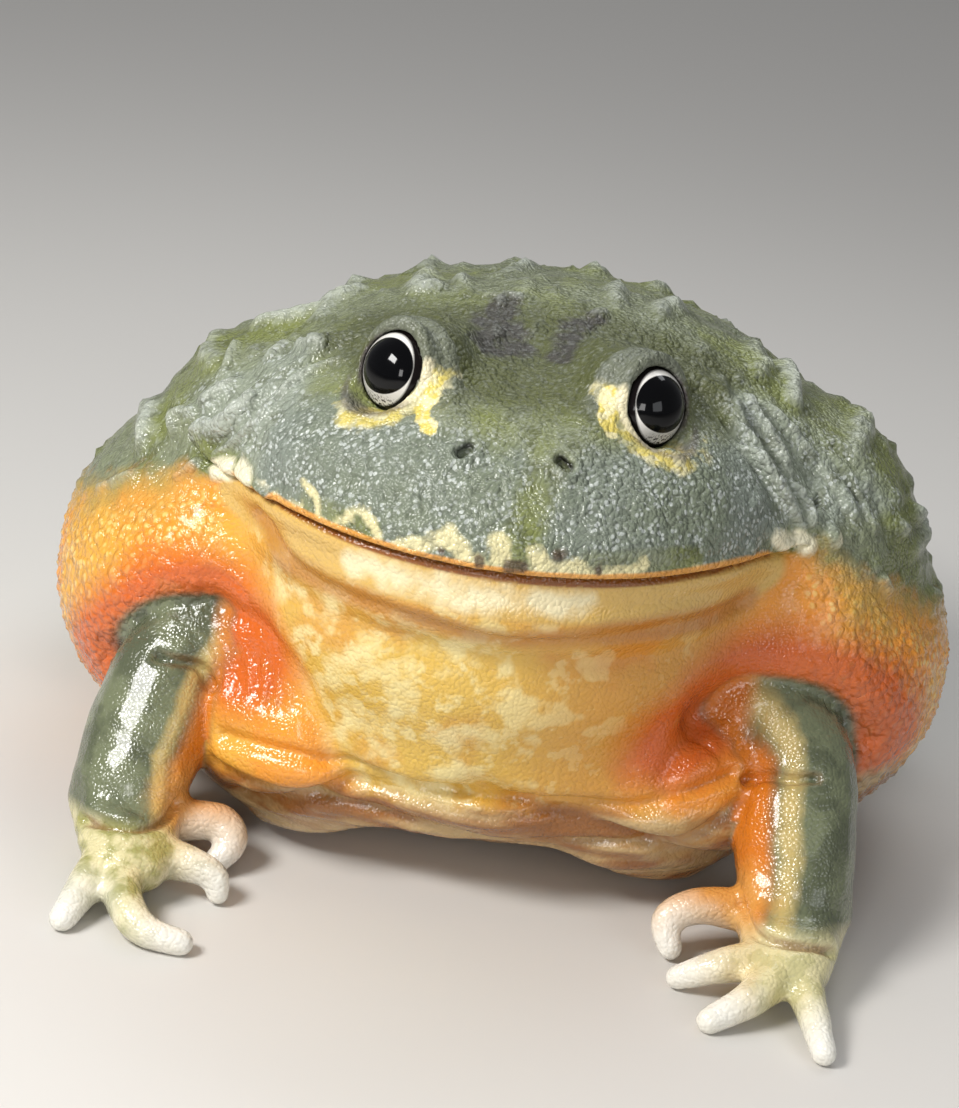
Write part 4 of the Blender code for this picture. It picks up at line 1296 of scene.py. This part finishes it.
def skinMaterial(groups):
    material, tree, shader = newMaterial("wetSkin")
    noise = addNode(tree, "Group", node_tree=groups["noise"]).outputs
    wide, middle, small, fine = (noise[size] for size in noiseSizes)

    def mask(name):
        return addNode(tree, "Attribute", attribute_name=name).outputs["Fac"]

    def times(a, b):
        return mathNode(tree, "MULTIPLY", a, b)

    def plus(a, b, clamp=False):
        return mathNode(tree, "ADD", a, b, clamp)

    def minus(a, b):
        return mathNode(tree, "SUBTRACT", a, b, True)

    def most(a, b):
        return mathNode(tree, "MAXIMUM", a, b)

    def between(source, low, high):
        return addNode(tree, "MapRange", {"Value": source, "From Min": low, "From Max": high},
                       interpolation_type="SMOOTHSTEP").outputs["Result"]

    def ragged(value, source, amount, sharp):
        return addNode(tree, "Group", {"Mask": value, "Noise": source, "Ragged": amount, "Sharp": sharp},
                       node_tree=groups["ragged"]).outputs["Mask"]

    def pebbles(name):
        made = addNode(tree, "Group", {"Scale": skinGloss[name]}, node_tree=groups["pebbles"])
        return made.outputs["Height"]

    def mix(share, below, above):
        # a colour is a name from skinLook or the output of a node
        colours = [skinLook[colour] if isinstance(colour, str) else colour for colour in (below, above)]
        return mixed(tree, share, *colours)

    def paint(colour, *layers):
        # a layer: its mask, the noise at its edge, how ragged and how sharp, strength, colour
        for name, source, amount, sharp, strength, above in layers:
            colour = mix(times(ragged(mask(name), source, amount, sharp), strength), colour, above)
        return colour

    # granules: coarse on the back, larger beads on the flanks, fine ones all over
    grains = pebbles("grains")
    beads = pebbles("beads")
    lower = most(mask("under"), mask("arm"))
    grainy = most(mask("snout"), mask("cheek"))

    # the back: olive and grey green, darker on the crown, with pale crests
    green = mix(between(wide, 0.40, 0.62), "olive", "greyGreen")
    green = paint(green, ("matte", wide, 0.8, 1.4, 0.85, "crown"), ("cheek", middle, 0.8, 1.6, 0.75, "cheek"))
    green = mix(times(between(small, 0.50, 0.66), 0.55), green, "oliveDark")
    green = paint(
        green,
        ("snout", middle, 0.9, 1.6, 0.72, "blueGrey"),
        ("lidPale", small, 0.9, 1.3, 0.30, "lidPale"),
        ("blotch", fine, 2.0, 1.3, 0.85, "blotch"),
        ("crest", fine, 0.8, 1.5, 0.75, "crest"))
    # painted shade in the hollows between the granules
    green = mix(times(between(grains, 0.55, 0.25), 0.22), green, "hollowShade")
    # painted highlights: small bright glints on the granule tops, most on the snout and cheeks
    paintedGlint = times(between(pebbles("paintedGlints"), 0.70, 0.93), between(small, 0.40, 0.56))
    green = mix(times(plus(0.12, times(grainy, 0.5)), paintedGlint), green, "paintedGlint")
    yellow = mix(between(fine, 0.44, 0.56), "fleckYellow", "cream")
    green = paint(
        green,
        ("fleck", fine, 1.4, 3.0, 0.95, yellow),
        ("lidYellow", small, 3.0, 1.5, 0.8, yellow),
        ("lidWhite", fine, 0.8, 1.6, 0.9, "lidWhite"),
        ("lip", fine, 2.2, 1.2, 0.85, "cream"),
        ("lipEdge", small, 0.5, 2.0, 0.85, "lipEdge"),
        ("spot", fine, 1.2, 1.8, 0.85, "brown"))

    # below it: orange, deeper in the folds, yellow throat, brown belly
    under = mix(between(wide, 0.42, 0.62), "orange", "amber")
    under = mix(times(times(between(beads, 0.78, 0.97), mask("flank")), 0.75), under, "bead")
    # the throat is darker at random and, as painted shade, on the frog's left side, with fewer pale blotches there
    darker = plus(times(between(wide, 0.44, 0.66), 0.6), times(mask("leftSide"), 0.75), True)
    throat = mix(darker, "throat", "throatDark")
    paler = most(between(middle, 0.46, 0.64), times(between(small, 0.52, 0.66), 0.8))
    paler = minus(paler, times(mask("leftSide"), 0.7))
    throat = mix(times(paler, 0.7), throat, "throatPale")
    lowerLip = paint("lowerLip", ("lipWhite", small, 1.8, 1.1, 0.9, "white"))
    where = addNode(tree, "TexCoord").outputs["Object"]
    stretched = addNode(tree, "Mapping", {"Vector": where, "Scale": (0.22, 1, 1)}).outputs["Vector"]
    streaks = addNode(tree, "TexNoise",
                      {"Vector": stretched, "Scale": skinGloss["streaks"], "Detail": 3.0}).outputs["Fac"]
    belly = mix(between(streaks, 0.38, 0.64), "belly", "bellyBrown")
    under = paint(
        under,
        ("throat", wide, 0.5, 1.4, 1.0, throat),
        ("lowerLip", middle, 0.5, 1.8, 1.0, lowerLip),
        # painted shade in the groove under the lower lip
        ("groove", middle, 0.4, 1.3, 0.75, "groove"),
        ("deep", middle, 0.35, 1.3, 0.9, "deep"),
        ("belly", small, 0.5, 1.6, 1.0, belly),
        # painted shade in the pockets over the elbows
        ("pocketShade", middle, 0.4, 1.2, 0.85, "pocketShade"))

    # both together, with an ochre border between them
    border = mask("under")
    colour = mix(ragged(times(border, 1.6), middle, 1.1, 1.5), green, "ochre")
    colour = mix(ragged(times(border, 0.94), small, 0.9, 1.5), colour, under)
    colour = paint(colour, ("tubercle", fine, 0.6, 1.5, 0.95, "knob"))
    # painted shade in the slit of the mouth
    colour = mix(mask("slit"), colour, "slit")

    # limbs
    paleHand = plus(between(small, 0.42, 0.62), times(mask("leftSide"), 0.6), True)
    arm = paint(
        mix(between(middle, 0.42, 0.60), "armGreen", "armDark"),
        ("edge", small, 0.8, 1.1, 0.8, "armYellow"),
        # the arm's inner side: orange painted darker than the body's, as shade
        ("inner", middle, 0.4, 1.3, 1.0, "shadedArmOrange"),
        ("hand", middle, 0.6, 1.2, 0.85, mix(paleHand, "hand", "handPale")),
        ("thumb", small, 0.5, 1.2, 0.8, "handOrange"),
        ("tip", small, 0.4, 1.0, 0.95, "tipWhite"),
        # painted shade in the creases of the wrists and elbows
        ("creaseShade", small, 0.3, 1.2, 0.7, "creaseShade"))
    colour = mix(mask("arm"), colour, arm)
    colour = mix(mask("leg"), colour, mix(times(between(middle, 0.48, 0.66), 0.6), green, "oliveDark"))
    colour = mix(times(mask("lid"), 0.9), colour, "lid")
    # painted shade in the nostrils
    colour = mix(mask("nostril"), colour, "nostrilShade")
    tree.links.new(colour, shader.inputs["Base Color"])

    low, high = skinGloss["roughness"]
    rough = addNode(tree, "MapRange", {"Value": small, "From Min": 0.3, "From Max": 0.7,
                                                 "To Min": low, "To Max": high}).outputs["Result"]
    tree.links.new(plus(rough, times(mask("matte"), skinGloss["matte"])), shader.inputs["Roughness"])
    tree.links.new(times(lower, skinGloss["film"]), shader.inputs["Coat Weight"])
    setInputs(shader, skinGloss["surface"])

    # the snout, cheeks and crown are grainy, the back between its ridges is smooth
    upper = minus(1.0, lower)
    plain = minus(plus(0.26, times(most(grainy, mask("matte")), 0.54)), times(mask("smooth"), 0.45))
    height = plus(times(grains, times(upper, plain)), times(pebbles("finest"), plus(0.28, times(upper, 0.2))))
    height = plus(height, times(beads, times(mask("flank"), 1.2)))
    bump = addNode(tree, "Bump", {"Height": height, "Strength": skinGloss["bumpStrength"],
                                            "Distance": skinGloss["bump"]})
    tree.links.new(bump.outputs["Normal"], shader.inputs["Normal"])
    return material


# Eyes

eyeLook = {
    "pupil": (0.0015, 0.0015, 0.002),
    "white": (0.80, 0.78, 0.74),
    "flecks": (0.05, 0.035, 0.03),
    "rim": (0.006, 0.004, 0.004),
    "soft": 0.012,          # how soft the edges are, as a share of their width
    "marble": (40.0, 0.49, 0.58),    # size of the flecks, and the noise from and to which they show
    "bottom": (0.24, 0.16),          # they lie below this height of the map
    "surface": {"Roughness": 0.10, "Specular IOR Level": 0.12, "Coat Weight": 0.35, "Coat Roughness": 0.01},
    "swell": 0.35,          # of the clear front, mm
    "swellFrom": (0.72, 0.95),
}


def eyeMaterial():
    material, tree, shader = newMaterial("eyeGloss")
    place = addNode(tree, "UVMap", uv_map="irisMap").outputs["UV"]
    size = 2 * eye["radius"]

    def outside(shape, soft):
        # 0 inside an upright ellipse and 1 outside it
        x, y, wide, high = shape
        moved = addNode(tree, "VectorMath", {0: place, 1: (0.5 + x / size, 0.5 + y / size, 0)},
                        operation="SUBTRACT")
        shared = addNode(tree, "VectorMath", {0: moved.outputs[0], 1: (wide / size, high / size, 1)},
                         operation="DIVIDE")
        length = addNode(tree, "VectorMath", {0: shared.outputs[0]}, operation="LENGTH")
        return addNode(tree, "MapRange", {
            "Value": length.outputs["Value"], "From Min": 1 - soft, "From Max": 1 + soft}).outputs["Result"]
    scale, faint, full = eyeLook["marble"]
    noise = addNode(tree, "TexNoise", {"Vector": place, "Scale": scale, "Detail": 4.0})
    marble = addNode(tree, "MapRange", {"Value": noise.outputs["Fac"], "From Min": faint, "From Max": full})
    low = addNode(tree, "SeparateXYZ", {0: place}).outputs["Y"]
    bottom = addNode(tree, "MapRange", {
        "Value": low, "From Min": eyeLook["bottom"][0], "From Max": eyeLook["bottom"][1]})
    flecks = mathNode(tree, "MULTIPLY", marble.outputs["Result"], bottom.outputs["Result"])
    iris = mixed(tree, flecks, eyeLook["white"], eyeLook["flecks"])
    colour = mixed(tree, outside(eye["pupil"], eyeLook["soft"]), eyeLook["pupil"], iris)
    colour = mixed(tree, outside(eye["iris"], eyeLook["soft"] * 2), colour, eyeLook["rim"])
    tree.links.new(colour, shader.inputs["Base Color"])
    setInputs(shader, eyeLook["surface"])
    return material


def buildEye(name, material):
    side = sides[name]
    centre = mirrored(eye["centre"], side)
    gaze, up, out = eyeAxes(side)
    deselect()
    bpy.ops.mesh.primitive_uv_sphere_add(
        segments=96, ring_count=64, radius=eye["radius"] * mm, location=at(centre),
        rotation=gaze.to_track_quat("Z", "Y").to_euler())
    ball = bpy.context.object
    ball.name = "eyeball_" + name
    ball.data.name = ball.name
    bpy.ops.object.transform_apply(location=True, rotation=True, scale=True)
    bpy.ops.object.shade_smooth()
    places, normals = readPlaces(ball)
    offset = places - np.array(centre)
    ahead = offset @ np.array(gaze)
    swell = eyeLook["swell"] * ramp(ahead / eye["radius"], *eyeLook["swellFrom"])
    writePlaces(ball, places + normals * swell[:, None])
    flat = np.stack([offset @ np.array(out), offset @ np.array(up)], axis=1)
    reach = np.linalg.norm(flat, axis=1)
    turned = ahead < 0
    flat[turned] *= (eye["radius"] * 1.2 / np.maximum(reach[turned], 0.01))[:, None]
    layer = ball.data.uv_layers[0] if ball.data.uv_layers else ball.data.uv_layers.new()
    layer.name = "irisMap"
    for loop in ball.data.loops:
        layer.data[loop.index].uv = 0.5 + flat[loop.vertex_index] / (2 * eye["radius"])
    ball.data.materials.clear()
    ball.data.materials.append(material)
    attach(ball, "root")
    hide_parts("eye_" + name)


# Making it all

addCamera()
addLights()
addFloor()
print("camera, lights and floor placed")

whole, trees = buildSkin()
crest = detailSkin(whole, trees)
before = lookup(standOnFloor(whole))
thin(whole)
standOnFloor(whole)
paintMasks(whole, trees, before, crest)
print("masks painted")

groups = {"noise": noiseGroup(), "ragged": raggedGroup(), "pebbles": pebbleGroup()}
whole.data.materials.clear()
whole.data.materials.append(skinMaterial(groups))
pick(whole)
bpy.ops.object.shade_smooth()
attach(whole, "root")
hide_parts("head", "lower_jaw", "torso", *[
    part + "_" + name for name in sides for part in ("upper_arm", "forearm", "hand", "thigh", "shank", "foot")])

gloss = eyeMaterial()
for name in sides:
    buildEye(name, gloss)
print("eyes set")
